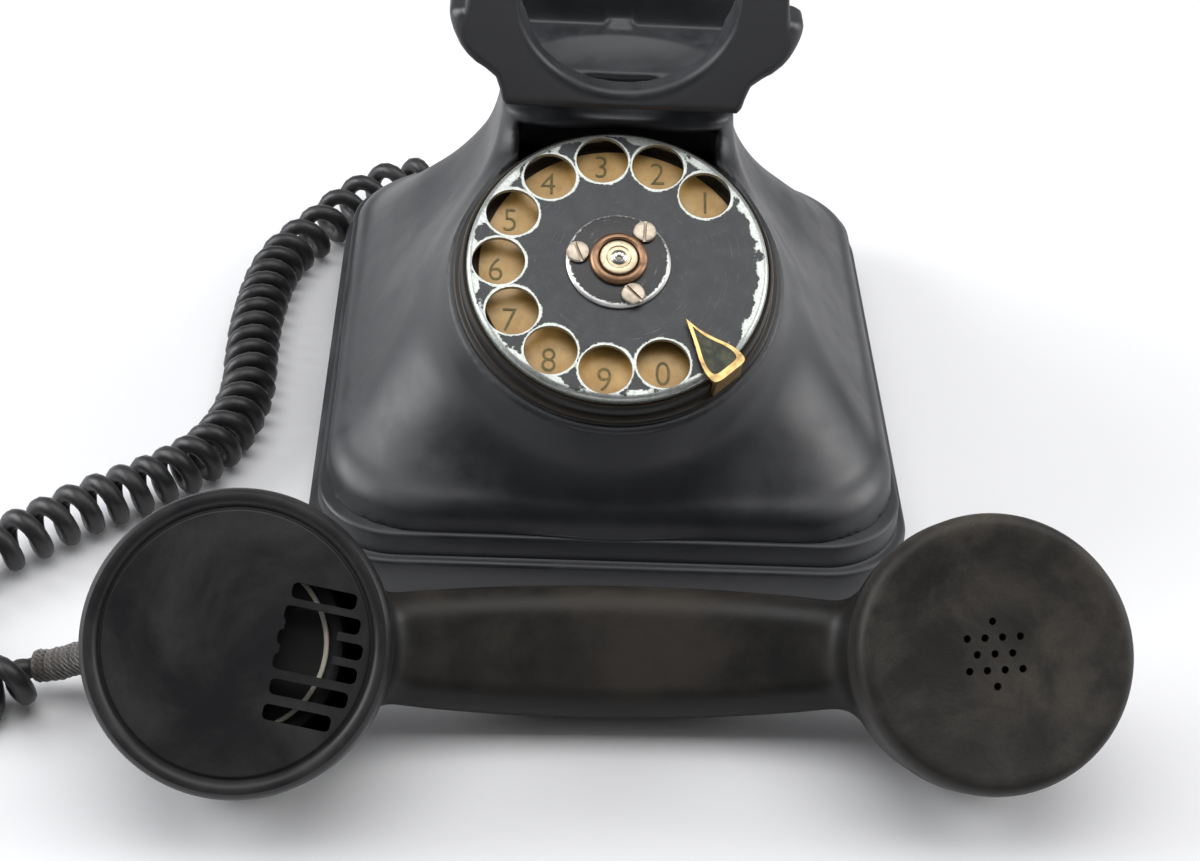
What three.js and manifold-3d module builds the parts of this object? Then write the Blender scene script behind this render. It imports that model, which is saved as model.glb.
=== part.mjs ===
// A desk telephone of the 1930s type: a black moulded housing with a ten-hole rotary dial, a fork
// cradle that presses down, and a handset laid on its back in front, joined by a coiled cord.
// Millimetres, +Z up, +X to the user's right and -Y towards the user.
import * as THREE from 'three';
import { mergeVertices } from 'three/addons/utils/BufferGeometryUtils.js';
import Module from 'manifold-3d';

const wasm = await Module();
wasm.setup();

// ---------------------------------------------------------------- driving dimensions
const GAP = 0.3;                       // clearance between neighbouring pieces

// Plinth and body of the housing
const PLINTH = { halfX: 79, halfY: 88, corner: 23 };
const WALL = 3;
const NECK = { x: -1.3, front: -11 };     // the neck and the dial stand a little left of the plinth's middle
const NICHE = { halfX: 25.5, depth: 5, bottom: 62, top: 96.5 };
// Outside of the housing: height, half width, front, rear and corner radius of each level
const BODY_LEVELS = [
  [2, 78.2, 87.2, 87.2, 22.4],
  [3.2, 79, 88, 88, 23],
  [12.4, 79, 88, 88, 23],
  [13, 76.6, 85.6, 85.6, 24],
  [19.6, 76.4, 85.4, 85.4, 24],
  [20.2, 74.8, 84, 84, 26],
  [25.5, 74.2, 83.4, 81.6, 28],
  [28.5, 72.6, 81.8, 79.2, 29],
  [31, 69.8, 79, 76, 29],
  [35, 66.6, 75.2, 71.2, 28],
  [41, 61.8, 69, 64.6, 26],
  [48, 55.6, 61.6, 57.8, 23],
  [55, 49, 53.4, 52, 20],
  [62, 43.4, 44.6, 46.4, 17],
  [70, 38.4, 35, 40, 14],
  [78, 34.6, 25.6, 33.4, 11],
  [86, 32.3, 17.4, 28, 9],
  [94, 30.9, 11, 25, 8],
  [99.7, 30.3, 10.8, 24.8, 7.6],
  [100.5, 29.5, 10, 24, 7],
];

// Dial: its wheel's top face is centred here and leans back from the upright
const DIAL = { x: NECK.x, y: -50.1, z: 81.6, lean: THREE.MathUtils.degToRad(27.6) };
const WHEEL = { radius: 38, thickness: 1.2, rimDrop: 2.8, holeCircle: 29.97, holeRadius: 6.67 };
const FIRST_HOLE = 42.9;               // degrees from +X, the hole of the digit 1
const HOLE_STEP = 27.7;
const HUB = { radius: 13.2, top: 1.3, screwCircle: 10.35, firstScrew: 51 };
const SPINDLE_RADIUS = 4.9;
const CASE = { wall: 39.3, inner: 37.2, flange: 41.4, flangeTop: -7, flangeBottom: -8.2, neck: 37.2 };
const CASE_FLOOR = -24;
const GEAR = { radius: 20, teeth: 32, top: -9, bottom: -10.6 };
const PINION = { radius: 3.2, teeth: 8, angle: 200 };

// Cradle fork
const FORK = { centreY: 6, halfX: 45, saddleHalfX: 40, floor: 113, floorHalfY: 10 };
const SCOOP = { radius: 27.5, centreZ: 140 };
const HORN = { inner: 27.5, outer: 39.5, top: 146, lipTop: 134.5 };
const REAR_WEB_TOP = 121;
const UNDERSIDE = [
  [29.4, 107], [30.5, 108.5], [31, 111], [32.2, 114.8], [35, 117.3], [37.3, 118.8], [39.5, 121],
  [41.3, 123.4], [43, 126.5], [45, 131],
];
const STEM = { halfX: 26.2, front: -2.7, rear: 21.7, bottom: 88 };
const OPENING = { halfX: 26.8, front: -3.3, rear: 22.3 };

// Handset: its frame lies between the centres of the two faces
const HANDSET = { x: -0.85, y: -152.35, z: 46.3, tip: THREE.MathUtils.degToRad(45) };
const HANDSET_YAW = THREE.MathUtils.degToRad(1.2);
const CUP_X = 85.65;
const MOUTH = { radius: 34.75, capDepth: 15, rim: 30, capsule: 24 };
const EAR = { radius: 32.25, capDepth: 13, holePitch: 4.1, rowPitch: 3.7, holeRadius: 0.9, capsule: 23 };
// Handle: distance along, depth of its centre line, half width and half thickness
const HANDLE_STATIONS = [
  [-72, -31, 11.4, 9.5],
  [-62, -34, 12.2, 9.4],
  [-52, -37, 13.2, 9.4],
  [-40, -39.8, 14.4, 9.7],
  [-20, -42.3, 15.6, 10],
  [0, -43, 16, 10],
  [20, -42.3, 15.6, 10],
  [40, -39.8, 14.4, 9.7],
  [52, -37, 13.2, 9.4],
  [62, -34, 12.2, 9.4],
  [72, -31, 11.4, 9.5],
];

// Handset cord
const COIL_RADIUS = 8;
const LEAD_RADIUS = 2.5;
const SLEEVE_RADIUS = 4;
const REAR_GLAND = { x: -46, y: 88, z: 9.4, radius: 3.8, length: 9 };
const LEAD_ROUTE = [[-46, 97.4, 9.5], [-46.2, 100.4, 9], [-48.2, 103.8, 8.4], [-51.6, 105.8, 8.2], [-55.4, 106.2, 8.2]];
const COIL_ROUTE = [
  [-58.2, 105.8, 8.2], [-66.5, 101.2, 8.2], [-74.5, 93.6, 8.2], [-81.2, 84.4, 8.2], [-87.6, 73, 8.2],
  [-94.2, 62.2, 8.2], [-98.4, 52, 8.2], [-100.8, 39, 8.2], [-102, 21, 8.2], [-101.7, 5, 8.2],
  [-101, -10.5, 8.2], [-102.5, -23.8, 8.2], [-106, -35, 8.2], [-111.2, -43.4, 8.2], [-117.4, -50, 8.2],
  [-124.6, -55.7, 8.2], [-137.4, -64.9, 8.2], [-148.8, -75.1, 8.2], [-160, -84.5, 8.2], [-170.5, -95, 8.2],
  [-177, -108, 8.2], [-176, -121, 8.2], [-167, -129.8, 8.2], [-156, -133.2, 8.2], [-148, -132.6, 8.2],
  [-142, -128, 8.2],
];
const SLEEVE_ROUTE = [
  [-114.6, -131.5, 22.4], [-121, -128, 17.4], [-128, -125.2, 12.2], [-135, -124.3, 8.6],
  [-143.4, -123.6, 7],
];

// ---------------------------------------------------------------- materials
const paint = (color, roughness, metalness = 0) => new THREE.MeshStandardMaterial({ color, roughness, metalness });
const BAKELITE = paint(0x202226, 0.42);
const HANDSET_BAKELITE = paint(0x25211e, 0.5);
const ENAMEL = paint(0x1c1d20, 0.38, 0.2);
const BRASS = paint(0xb08d4c, 0.35, 1);
const STEEL = paint(0x9a9c9e, 0.4, 1);
const COPPER = paint(0x9c5a33, 0.45, 1);
const AMBER = paint(0xb98a36, 0.45);
const RUBBER = paint(0x151515, 0.75);
const FABRIC = paint(0x2c211a, 0.95);

// ---------------------------------------------------------------- solids and booleans
// Keeps positions only, merges shared vertices, drops flat triangles and turns faces outwards.
function clean(geometry) {
  const bare = geometry.clone();
  bare.deleteAttribute('normal');
  bare.deleteAttribute('uv');
  const merged = mergeVertices(bare, 1e-4);
  const { array } = merged.index;
  const position = merged.attributes.position;
  const kept = [];
  const corners = [new THREE.Vector3(), new THREE.Vector3(), new THREE.Vector3()];
  let volume = 0;
  for (let i = 0; i < array.length; i += 3) {
    const [a, b, c] = [array[i], array[i + 1], array[i + 2]];
    if (a === b || b === c || a === c) continue;
    kept.push([a, b, c]);
    [a, b, c].forEach((vertex, k) => corners[k].fromBufferAttribute(position, vertex));
    volume += corners[0].dot(corners[1].clone().cross(corners[2]));
  }
  merged.setIndex(kept.flatMap((face) => (volume < 0 ? face.slice().reverse() : face)));
  return merged;
}

function toSolid(geometry) {
  const body = clean(geometry);
  return new wasm.Manifold(new wasm.Mesh({
    numProp: 3,
    vertProperties: new Float32Array(body.attributes.position.array),
    triVerts: new Uint32Array(body.index.array),
  }));
}

function fromSolid(solid) {
  const { vertProperties, triVerts } = solid.getMesh();
  const geometry = new THREE.BufferGeometry();
  geometry.setAttribute('position', new THREE.BufferAttribute(new Float32Array(vertProperties), 3));
  geometry.setIndex(Array.from(triVerts));
  return geometry;
}

function join(first, ...others) {
  return fromSolid(others.reduce((sum, part) => sum.add(toSolid(part)), toSolid(first)));
}

function cut(first, ...tools) {
  return fromSolid(tools.reduce((rest, tool) => rest.subtract(toSolid(tool)), toSolid(first)));
}

// ---------------------------------------------------------------- basic shapes
function cylinder(radius, bottom, top, sides = 24, topRadius = radius) {
  const geometry = new THREE.CylinderGeometry(topRadius, radius, top - bottom, sides);
  return geometry.rotateX(Math.PI / 2).translate(0, 0, (bottom + top) / 2);
}

function box(x0, x1, y0, y1, z0, z1) {
  const geometry = new THREE.BoxGeometry(x1 - x0, y1 - y0, z1 - z0);
  return geometry.translate((x0 + x1) / 2, (y0 + y1) / 2, (z0 + z1) / 2);
}

// A turned piece about Z from its [radius, height] profile
function turned(profile, sides = 32) {
  const points = profile.map(([radius, height]) => new THREE.Vector2(radius, height));
  return new THREE.LatheGeometry(points, sides).rotateX(Math.PI / 2).scale(1, -1, 1);
}

// A turned ring, whose profile closes on itself
const turnedRing = (profile, sides = 32) => turned([...profile, profile[0]], sides);

function extruded(shape, bottom, top, curveSegments = 8) {
  const options = { depth: top - bottom, bevelEnabled: false, curveSegments };
  return new THREE.ExtrudeGeometry(shape, options).translate(0, 0, bottom);
}

// Points of a rectangle with round corners, four arcs of equal steps
function roundedRectangle(halfX, front, rear, radius, steps = 5) {
  const corners = [
    [halfX - radius, rear - radius, 0], [radius - halfX, rear - radius, 90],
    [radius - halfX, front + radius, 180], [halfX - radius, front + radius, 270],
  ];
  return corners.flatMap(([x, y, start]) => Array.from({ length: steps + 1 }, (_, i) => {
    const angle = THREE.MathUtils.degToRad(start + (90 * i) / steps);
    return new THREE.Vector2(x + radius * Math.cos(angle), y + radius * Math.sin(angle));
  }));
}

// A closed body through rings of points, each ring having as many points as the others
function loft(rings) {
  const count = rings[0].length;
  const centre = (ring) => ring.reduce((sum, p) => sum.add(p), new THREE.Vector3()).divideScalar(count);
  const points = [...rings.flat(), centre(rings[0]), centre(rings.at(-1))];
  const first = points.length - 2;
  const last = points.length - 1;
  const index = [];
  for (let ring = 0; ring < rings.length - 1; ring += 1) {
    for (let i = 0; i < count; i += 1) {
      const a = ring * count + i;
      const b = ring * count + ((i + 1) % count);
      index.push(a, b, b + count, a, b + count, a + count);
    }
  }
  const top = (rings.length - 1) * count;
  for (let i = 0; i < count; i += 1) {
    const next = (i + 1) % count;
    index.push(first, next, i, last, top + i, top + next);
  }
  const geometry = new THREE.BufferGeometry().setFromPoints(points);
  geometry.setIndex(index);
  return geometry;
}

// A round bar along a route of points, its ends square to the given directions
function tube(route, radius, sides, steps) {
  const curve = new THREE.CatmullRomCurve3(route.map((p) => new THREE.Vector3(...p)), false, 'centripetal');
  const section = new THREE.Shape(Array.from({ length: sides }, (_, i) => {
    const angle = (2 * Math.PI * (i + 0.5)) / sides;
    return new THREE.Vector2(radius * Math.cos(angle), radius * Math.sin(angle));
  }));
  return new THREE.ExtrudeGeometry(section, { steps, extrudePath: curve, bevelEnabled: false });
}

// ---------------------------------------------------------------- scene graph
const model = new THREE.Group();
const dial = new THREE.Group();
dial.position.set(DIAL.x, DIAL.y, DIAL.z);
dial.rotation.x = DIAL.lean;
const handset = new THREE.Group();
handset.position.set(HANDSET.x, HANDSET.y, HANDSET.z);
handset.rotation.set(HANDSET.tip, 0, HANDSET_YAW, 'ZYX');
model.add(dial, handset);

function add(name, geometry, material, parent = model) {
  const mesh = new THREE.Mesh(clean(geometry), material);
  mesh.name = name;
  parent.add(mesh);
  return mesh;
}

// Takes a shape from the dial's own frame to the model's
function fromDial(geometry) {
  dial.updateMatrix();
  return geometry.clone().applyMatrix4(dial.matrix);
}

const polar = (radius, degrees) => {
  const angle = THREE.MathUtils.degToRad(degrees);
  return [radius * Math.cos(angle), radius * Math.sin(angle)];
};

// ---------------------------------------------------------------- housing and base
const bodyRing = (level, inset) => {
  const [z, halfX, front, rear, radius] = level;
  const points = roundedRectangle(halfX - inset, inset - front, rear - inset, Math.max(radius - inset, 2));
  const shift = NECK.x * smooth((z - 28) / 40);
  return points.map((p) => new THREE.Vector3(p.x + shift, p.y, z));
};

function housing() {
  const outside = loft(BODY_LEVELS.map((level) => bodyRing(level, 0)));
  const boss = fromDial(cylinder(54, -40, CASE.flangeBottom - GAP, 36, 42.6));
  const INSIDE_LEVELS = [2, 20.2, 28.5, 35, 41, 48, 55, 62, 70, 78, 86];
  const insideLevels = BODY_LEVELS.filter(([z]) => INSIDE_LEVELS.includes(z));
  const inside = loft(insideLevels.map((level) => {
    const ring = bodyRing(level, WALL + (level[0] > 60 ? 0.4 : 0));
    const lift = level[0] === 2 ? -1 : 0;
    return ring.map((p) => new THREE.Vector3(p.x, level[0] > 60 ? Math.max(p.y, OPENING.front) : p.y, p.z + lift));
  }));
  const bossInside = fromDial(cylinder(46, -38, -12, 28, 38.6));
  const bore = fromDial(cylinder(CASE.neck + GAP + 0.2, -30, 10, 36));
  const dialRoom = fromDial(cylinder(42.2, CASE.flangeBottom - GAP, 30, 36));
  const niche = box(NECK.x - NICHE.halfX, NECK.x + NICHE.halfX, NECK.front - 20, NECK.front + NICHE.depth,
    NICHE.bottom, NICHE.top);
  const opening = box(NECK.x - OPENING.halfX, NECK.x + OPENING.halfX, OPENING.front, OPENING.rear, 80, 102);
  const glandHole = cylinder(REAR_GLAND.radius + GAP, 0, 20, 16).rotateX(-Math.PI / 2)
    .translate(REAR_GLAND.x, PLINTH.halfY - 15, REAR_GLAND.z);
  const inletHole = glandHole.clone().translate(-2 * REAR_GLAND.x, 0, 0);
  const hollow = cut(join(outside, boss), inside, bossInside, bore, dialRoom, niche, opening, glandHole, inletHole);
  const posts = [-1, 1].map((side) => cylinder(4.5, 5, 34, 16).translate(side * 62, 0, 0));
  const threads = [-1, 1].map((side) => cylinder(2.2, 4, 20, 12).translate(side * 62, 0, 0));
  return cut(join(hollow, ...posts), ...threads);
}

function base() {
  const outline = (inset) => new THREE.Shape(roundedRectangle(
    PLINTH.halfX - WALL - inset, inset + WALL - PLINTH.halfY, PLINTH.halfY - WALL - inset, PLINTH.corner - WALL, 6));
  const plate = extruded(outline(2.2), 3, 4.4);
  const holes = [-1, 1].map((side) => cylinder(2.4, 2, 6, 12).translate(side * 62, 0, 0));
  add('base_plate', cut(plate, ...holes), STEEL);
  let number = 1;
  for (const y of [-68, 68]) {
    for (const x of [-58, 58]) {
      add(`rubber_foot_${number}`, cylinder(7, 0, 2.7, 16).translate(x, y, 0), RUBBER);
      number += 1;
    }
  }
  for (const [name, side] of [['left', -1], ['right', 1]]) {
    const screw = join(cylinder(4, 1.2, 2.7, 16), cylinder(1.8, 2, 16, 12));
    add(`base_screw_${name}`, cut(screw, box(-5, 5, -0.5, 0.5, 0.6, 1.9)).translate(side * 62, 0, 0), STEEL);
  }
}

// ---------------------------------------------------------------- dial
const holeCentres = Array.from({ length: 10 }, (_, i) => polar(WHEEL.holeCircle, FIRST_HOLE + HOLE_STEP * i));
const hubScrewAngles = [0, 120, 240].map((turn) => HUB.firstScrew + turn);

function fingerWheel() {
  const disc = turned([
    [0, 0], [WHEEL.radius - 0.9, 0], [WHEEL.radius, -0.9], [WHEEL.radius, -WHEEL.rimDrop],
    [WHEEL.radius - 1, -WHEEL.rimDrop], [WHEEL.radius - 1, -WHEEL.thickness], [0, -WHEEL.thickness],
  ], 44);
  const fingers = holeCentres.map(([x, y]) => cylinder(WHEEL.holeRadius, -3, 1, 14).translate(x, y, 0));
  const screws = hubScrewAngles.map((angle) => {
    const [x, y] = polar(HUB.screwCircle, angle);
    return cylinder(1.6, -3, 1, 10).translate(x, y, 0);
  });
  return cut(disc, cylinder(SPINDLE_RADIUS + GAP, -3, 1, 20), ...fingers, ...screws);
}

function hubScrew(angle) {
  const [x, y] = polar(HUB.screwCircle, angle);
  const screw = join(cylinder(2.9, HUB.top + GAP, HUB.top + 1.3, 20, 2.6), cylinder(1.2, -2.2, HUB.top + 0.6, 10));
  const slot = box(-4, 4, -0.4, 0.4, HUB.top + 0.8, HUB.top + 2).rotateZ(THREE.MathUtils.degToRad(angle * 1.7));
  return cut(screw, slot).translate(x, y, 0);
}

function hub() {
  const holes = hubScrewAngles.map((angle) => {
    const [x, y] = polar(HUB.screwCircle, angle);
    return cylinder(1.6, 0, 2, 10).translate(x, y, 0);
  });
  const plate = cylinder(HUB.radius, GAP, HUB.top, 40, HUB.radius - 0.4);
  add('hub_plate', cut(plate, cylinder(SPINDLE_RADIUS + GAP, 0, 2, 20), ...holes), ENAMEL, dial);
  hubScrewAngles.forEach((angle, i) => add(`hub_screw_${i + 1}`, hubScrew(angle), BRASS, dial));
  const inner = SPINDLE_RADIUS + GAP;
  add('collar_nut', turnedRing([[inner, 1.6], [7.2, 1.6], [7.2, 2.2], [6.6, 2.9], [inner, 2.9]], 20), COPPER, dial);
  add('dial_spindle', cylinder(SPINDLE_RADIUS, CASE_FLOOR + 6, 2.6, 24), BRASS, dial);
  add('centre_pin', turned([[0, 2.9], [1.3, 2.9], [1.2, 3.7], [0.5, 4.4], [0, 4.5]], 12), STEEL, dial);
}

function gearShape(radius, teeth, depth, phase = 0) {
  const points = [];
  for (let tooth = 0; tooth < teeth; tooth += 1) {
    for (const [part, reach] of [[0, -depth], [0.3, -depth], [0.45, 0], [0.75, 0]]) {
      points.push(new THREE.Vector2(...polar(radius + reach, ((tooth + part) * 360) / teeth + phase)));
    }
  }
  return new THREE.Shape(points);
}

function dialCase() {
  const { wall, inner, flange, flangeTop, flangeBottom, neck } = CASE;
  const ledge = neck - 2.6;
  return turned([
    [0, CASE_FLOOR], [neck, CASE_FLOOR], [neck, flangeBottom], [flange, flangeBottom], [flange, flangeTop],
    [wall, flangeTop], [wall, -2.2], [wall - 0.7, -2.2], [wall - 0.7, -3.4], [inner, -3.4],
    [inner - 0.2, -5.8], [ledge, -5.8], [ledge, CASE_FLOOR + 1.4], [0, CASE_FLOOR + 1.4],
  ], 36);
}

// The stop hooks over the wheel's edge and narrows to a tip that points at the hub.
function fingerStop() {
  const blade = new THREE.Shape();
  blade.moveTo(16.6, -15.9);
  blade.quadraticCurveTo(21, -20.4, 26.4, -22.4);
  blade.quadraticCurveTo(29.8, -24, 31, -26.6);
  blade.lineTo(24.2, -33.2);
  blade.quadraticCurveTo(21.2, -30, 19.6, -25.4);
  blade.quadraticCurveTo(18.2, -20.6, 16.6, -15.9);
  const over = extruded(blade, 1, 1.9, 5);
  const leg = box(CASE.wall + GAP, CASE.wall + GAP + 1.2, -4.6, 4.6, CASE.flangeTop + GAP, 1.9)
    .rotateZ(THREE.MathUtils.degToRad(-47.3));
  return join(over, leg);
}

function dialWorks() {
  const plateHole = cylinder(SPINDLE_RADIUS + GAP + 1, -30, 0, 20);
  add('number_plate', cut(cylinder(35, -5.5, -4.5, 36), plateHole), AMBER, dial);
  const gear = extruded(gearShape(GEAR.radius, GEAR.teeth, 1.4), GEAR.bottom, GEAR.top, 1);
  add('dial_gear', cut(gear, cylinder(SPINDLE_RADIUS + GAP, -20, 0, 20)), BRASS, dial);
  const pinionAt = polar(GEAR.radius + PINION.radius + GAP, PINION.angle);
  const pinion = extruded(gearShape(PINION.radius, PINION.teeth, 1.2), GEAR.bottom, GEAR.top, 1);
  const arbor = join(pinion, cylinder(1, -21.5, -8.6, 10), cylinder(7, -20.5, -16.5, 24));
  add('governor', arbor.translate(...pinionAt, 0), BRASS, dial);
  const plate = cylinder(34, -14, -12.6, 28);
  const bearing = cylinder(1.4, -20, 0, 10).translate(...pinionAt, 0);
  add('mechanism_plate', cut(plate, cylinder(SPINDLE_RADIUS + GAP, -20, 0, 20), bearing), STEEL, dial);
  const stack = [0, 1, 2].map((i) => box(-9, 12, 20 + 1.6 * i, 20.5 + 1.6 * i, -19.4, -14.6));
  add('pulse_contacts', join(box(-15, -8.6, 17.6, 25.6, -20.4, -14.3), ...stack), COPPER, dial);
  add('return_spring', spiralSpring(-17, -14.6), STEEL, dial);
}

// A flat ribbon wound round the spindle in a spiral
function spiralSpring(bottom, top) {
  const TURNS = 3;
  const START = 5.8;
  const PITCH = 1.9;
  const RIBBON = 0.5;
  const steps = TURNS * 14;
  const edge = (offset) => Array.from({ length: steps + 1 }, (_, i) => new THREE.Vector2(
    ...polar(START + offset + (PITCH * TURNS * i) / steps, (360 * TURNS * i) / steps)));
  return extruded(new THREE.Shape([...edge(0), ...edge(RIBBON).reverse()]), bottom, top, 1);
}

// ---------------------------------------------------------------- cradle fork
const clamp = (value) => Math.min(Math.max(value, 0), 1);
const smooth = (value) => clamp(value) ** 2 * (3 - 2 * clamp(value));

// Height of the horns and lips across the fork; the front wall dips to the round finger scoop
function wallTop(x, front) {
  const across = Math.abs(x);
  if (across > HORN.outer) return HORN.lipTop - 0.35 * (across - HORN.outer);
  if (across > HORN.inner) return HORN.top - 3 * ((across - 34) / 6.5) ** 2;
  if (!front) return REAR_WEB_TOP;
  return SCOOP.centreZ - Math.sqrt(SCOOP.radius ** 2 - across ** 2);
}

function forkTop(x, y) {
  const fromCentre = y - FORK.centreY;
  const wall = FORK.floor + 33 * smooth((Math.abs(fromCentre) - FORK.floorHalfY) / 9.5);
  const height = Math.min(wall, Math.max(wallTop(x, fromCentre < 0), FORK.floor - 0.4));
  const dish = FORK.floor - 4.4 * (1 - (x / 25.7) ** 2 - ((y + 5) / 15.8) ** 2);
  const atWall = 20 * clamp((-13 - y) / 3);
  return Math.min(height, dish < FORK.floor ? dish + atWall : height);
}

// Height of the horns' underside across the fork
function forkUnderside(x) {
  const across = Math.abs(x);
  const next = UNDERSIDE.findIndex(([reach]) => reach >= across);
  if (next === 0) return UNDERSIDE[0][1];
  const [[x0, z0], [x1, z1]] = UNDERSIDE.slice(next - 1, next + 1);
  return z0 + ((z1 - z0) * (across - x0)) / (x1 - x0);
}

function cradleFork() {
  const across = [0, 9, 16, 21, 25, 27.3, 27.7, 29.4, 31, 32.2, 35, 39.3, 39.7, 42, 45];
  const xs = [...across.slice(1).reverse().map((x) => -x), ...across];
  const ys = [-20, -17, -14.5, -12, -9, -6.5, -4, -1, 4, 10, 13, 16, 18, 20.5, 23, 26, 29, 32];
  const at = (x, y) => {
    const outward = smooth((Math.abs(y - FORK.centreY) - 9) / 6);
    const reach = FORK.saddleHalfX + (FORK.halfX - FORK.saddleHalfX) * outward;
    return (x * reach) / FORK.halfX;
  };
  const top = [];
  const bottom = [];
  for (const y of ys) {
    for (const x of xs) {
      const px = at(x, y);
      top.push(new THREE.Vector3(px, y, forkTop(px, y)));
      bottom.push(new THREE.Vector3(px, y, Math.min(forkUnderside(px), forkTop(px, y) - 1.8)));
    }
  }
  const count = top.length;
  const columns = xs.length;
  const index = [];
  const quad = (a, b, c, d) => index.push(a, b, c, a, c, d);
  for (let row = 0; row < ys.length - 1; row += 1) {
    for (let column = 0; column < columns - 1; column += 1) {
      const a = row * columns + column;
      quad(a, a + 1, a + columns + 1, a + columns);
      quad(count + a, count + a + columns, count + a + columns + 1, count + a + 1);
    }
  }
  const border = [];
  for (let column = 0; column < columns - 1; column += 1) border.push(column);
  for (let row = 0; row < ys.length - 1; row += 1) border.push(row * columns + columns - 1);
  for (let column = columns - 1; column > 0; column -= 1) border.push((ys.length - 1) * columns + column);
  for (let row = ys.length - 1; row > 0; row -= 1) border.push(row * columns);
  border.forEach((a, i) => {
    const b = border[(i + 1) % border.length];
    quad(b, a, count + a, count + b);
  });
  const shell = new THREE.BufferGeometry().setFromPoints([...top, ...bottom]);
  shell.setIndex(index);
  const stem = box(-STEM.halfX, STEM.halfX, STEM.front, STEM.rear, STEM.bottom, 107);
  const socket = box(-STEM.halfX + 4, STEM.halfX - 4, STEM.front + 4, STEM.rear - 4, STEM.bottom - 1, 100);
  return cut(join(shell, stem), socket).translate(NECK.x, 0, 0);
}

const LEVER = { pivotY: 30, z: 50, tipY: 4 };

function hookSwitch() {
  add('cradle_fork', cradleFork(), BAKELITE);
  const plunger = join(cylinder(3, LEVER.z + 2.4, 99.6, 16), cylinder(5.5, 97.8, 99.6, 16));
  add('cradle_plunger', plunger.translate(NECK.x, 9.5, 0), BRASS);
  const arm = box(-3, 3, LEVER.tipY, LEVER.pivotY + 4, LEVER.z, LEVER.z + 2);
  const knuckle = cylinder(3, -6, 6, 16).rotateY(Math.PI / 2).translate(0, LEVER.pivotY, LEVER.z + 1);
  const pinHole = cylinder(1.5, -8, 8, 12).rotateY(Math.PI / 2).translate(0, LEVER.pivotY, LEVER.z + 1);
  add('hook_lever', cut(join(arm, knuckle), pinHole), STEEL);
  const pin = cylinder(1.2, -9.6, 9.6, 12).rotateY(Math.PI / 2).translate(0, LEVER.pivotY, LEVER.z + 1);
  add('hook_pivot_pin', pin, STEEL);
  const cheeks = [-1, 1].map((side) => box(side * 8 - 0.8, side * 8 + 0.8, 24, 35, 4.7, LEVER.z + 5));
  const foot = box(-8.8, 8.8, 24, 35, 4.7, 6.2);
  const holes = cylinder(1.5, -12, 12, 12).rotateY(Math.PI / 2).translate(0, LEVER.pivotY, LEVER.z + 1);
  add('hook_bracket', cut(join(foot, ...cheeks), holes), STEEL);
  const blades = [0, 1, 2].map((i) => box(10 + 1.8 * i, 10.5 + 1.8 * i, 2, 30, 40, 46));
  add('hook_contacts', join(box(9.1, 15.9, 25, 34, 38, 48), ...blades), COPPER);
}

// ---------------------------------------------------------------- inside the base
const GONG = { x: 27, y: 57, radius: 22.5, bottom: 12 };
const CLAPPER = { y: 12, z: 18 };

function ringer() {
  const profile = [
    [2.4, 12], [9, 12], [17, 9.6], [21.4, 4.4], [GONG.radius, 0],
    [GONG.radius - 1.6, 0], [20, 4], [16.2, 8.2], [8.6, 10.4], [2.4, 10.4],
  ];
  for (const [name, side] of [['left', -1], ['right', 1]]) {
    const gong = turnedRing(profile, 18).translate(side * GONG.x, GONG.y, GONG.bottom);
    add(`gong_${name}`, gong, BRASS);
    const post = join(cylinder(2, 4.7, 25.6, 12), cylinder(4, 24.4, 26.4, 12), cylinder(3.4, 4.7, 20, 12));
    add(`gong_post_${name}`, post.translate(side * GONG.x, GONG.y, 0), STEEL);
    const coil = turned([[0, 6.4], [8.6, 6.4], [8.6, 7.6], [7.6, 7.6], [7.6, 26], [8.6, 26], [8.6, 27.2], [0, 27.2]], 20);
    add(`ringer_coil_${name}`, coil.translate(side * 10, -6, 0), COPPER);
  }
  add('ringer_yoke', box(-20, 20, -15, 4, 4.7, 6.1), STEEL);
  const hub = cylinder(2.6, 15, 21, 16).translate(0, CLAPPER.y, 0);
  const armature = box(-18, 18, CLAPPER.y - 1.2, CLAPPER.y + 1.2, 16, 20);
  const rod = cylinder(0.8, 0, GONG.y - CLAPPER.y, 8).rotateX(-Math.PI / 2).translate(0, CLAPPER.y, CLAPPER.z);
  const ball = new THREE.SphereGeometry(2.5, 14, 10).translate(0, GONG.y, CLAPPER.z);
  const pivotHole = cylinder(1.4, 10, 30, 12).translate(0, CLAPPER.y, 0);
  add('clapper', cut(join(hub, armature, rod, ball), pivotHole), STEEL);
  const post = join(cylinder(1.1, 4.7, 23, 12), cylinder(2.6, 4.7, 14.6, 12));
  add('clapper_pivot', post.translate(0, CLAPPER.y, 0), STEEL);
}

function circuit() {
  const bobbin = turned([[0, -17], [9, -17], [9, -15.4], [7.4, -15.4], [7.4, 15.4], [9, 15.4], [9, 17], [0, 17]], 20);
  add('induction_coil', bobbin.rotateX(Math.PI / 2).translate(-42, -14, 14), COPPER);
  add('capacitor', box(33, 53, -38, 8, 4.7, 22), STEEL);
  const strip = box(-64, -56, 14, 62, 4.7, 12);
  const terminals = [0, 1, 2, 3, 4].map((i) => cylinder(2.4, 11.6, 13.6, 10).translate(-60, 18 + 10 * i, 0));
  add('terminal_block', join(strip, ...terminals), BAKELITE);
}

function rearGland(name, x) {
  const { y, z, radius, length } = REAR_GLAND;
  const profile = [[LEAD_RADIUS + GAP, -9.5], [radius + 1.2, -9.5], [radius + 1.2, -6.6],
    [radius, -6.6], [radius, GAP], [radius + 0.9, GAP], [radius - 0.2, length],
    [LEAD_RADIUS + GAP, length]];
  const gland = turnedRing(profile, 14).rotateX(-Math.PI / 2).translate(x, y, z);
  add(name, gland, RUBBER);
}

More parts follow.
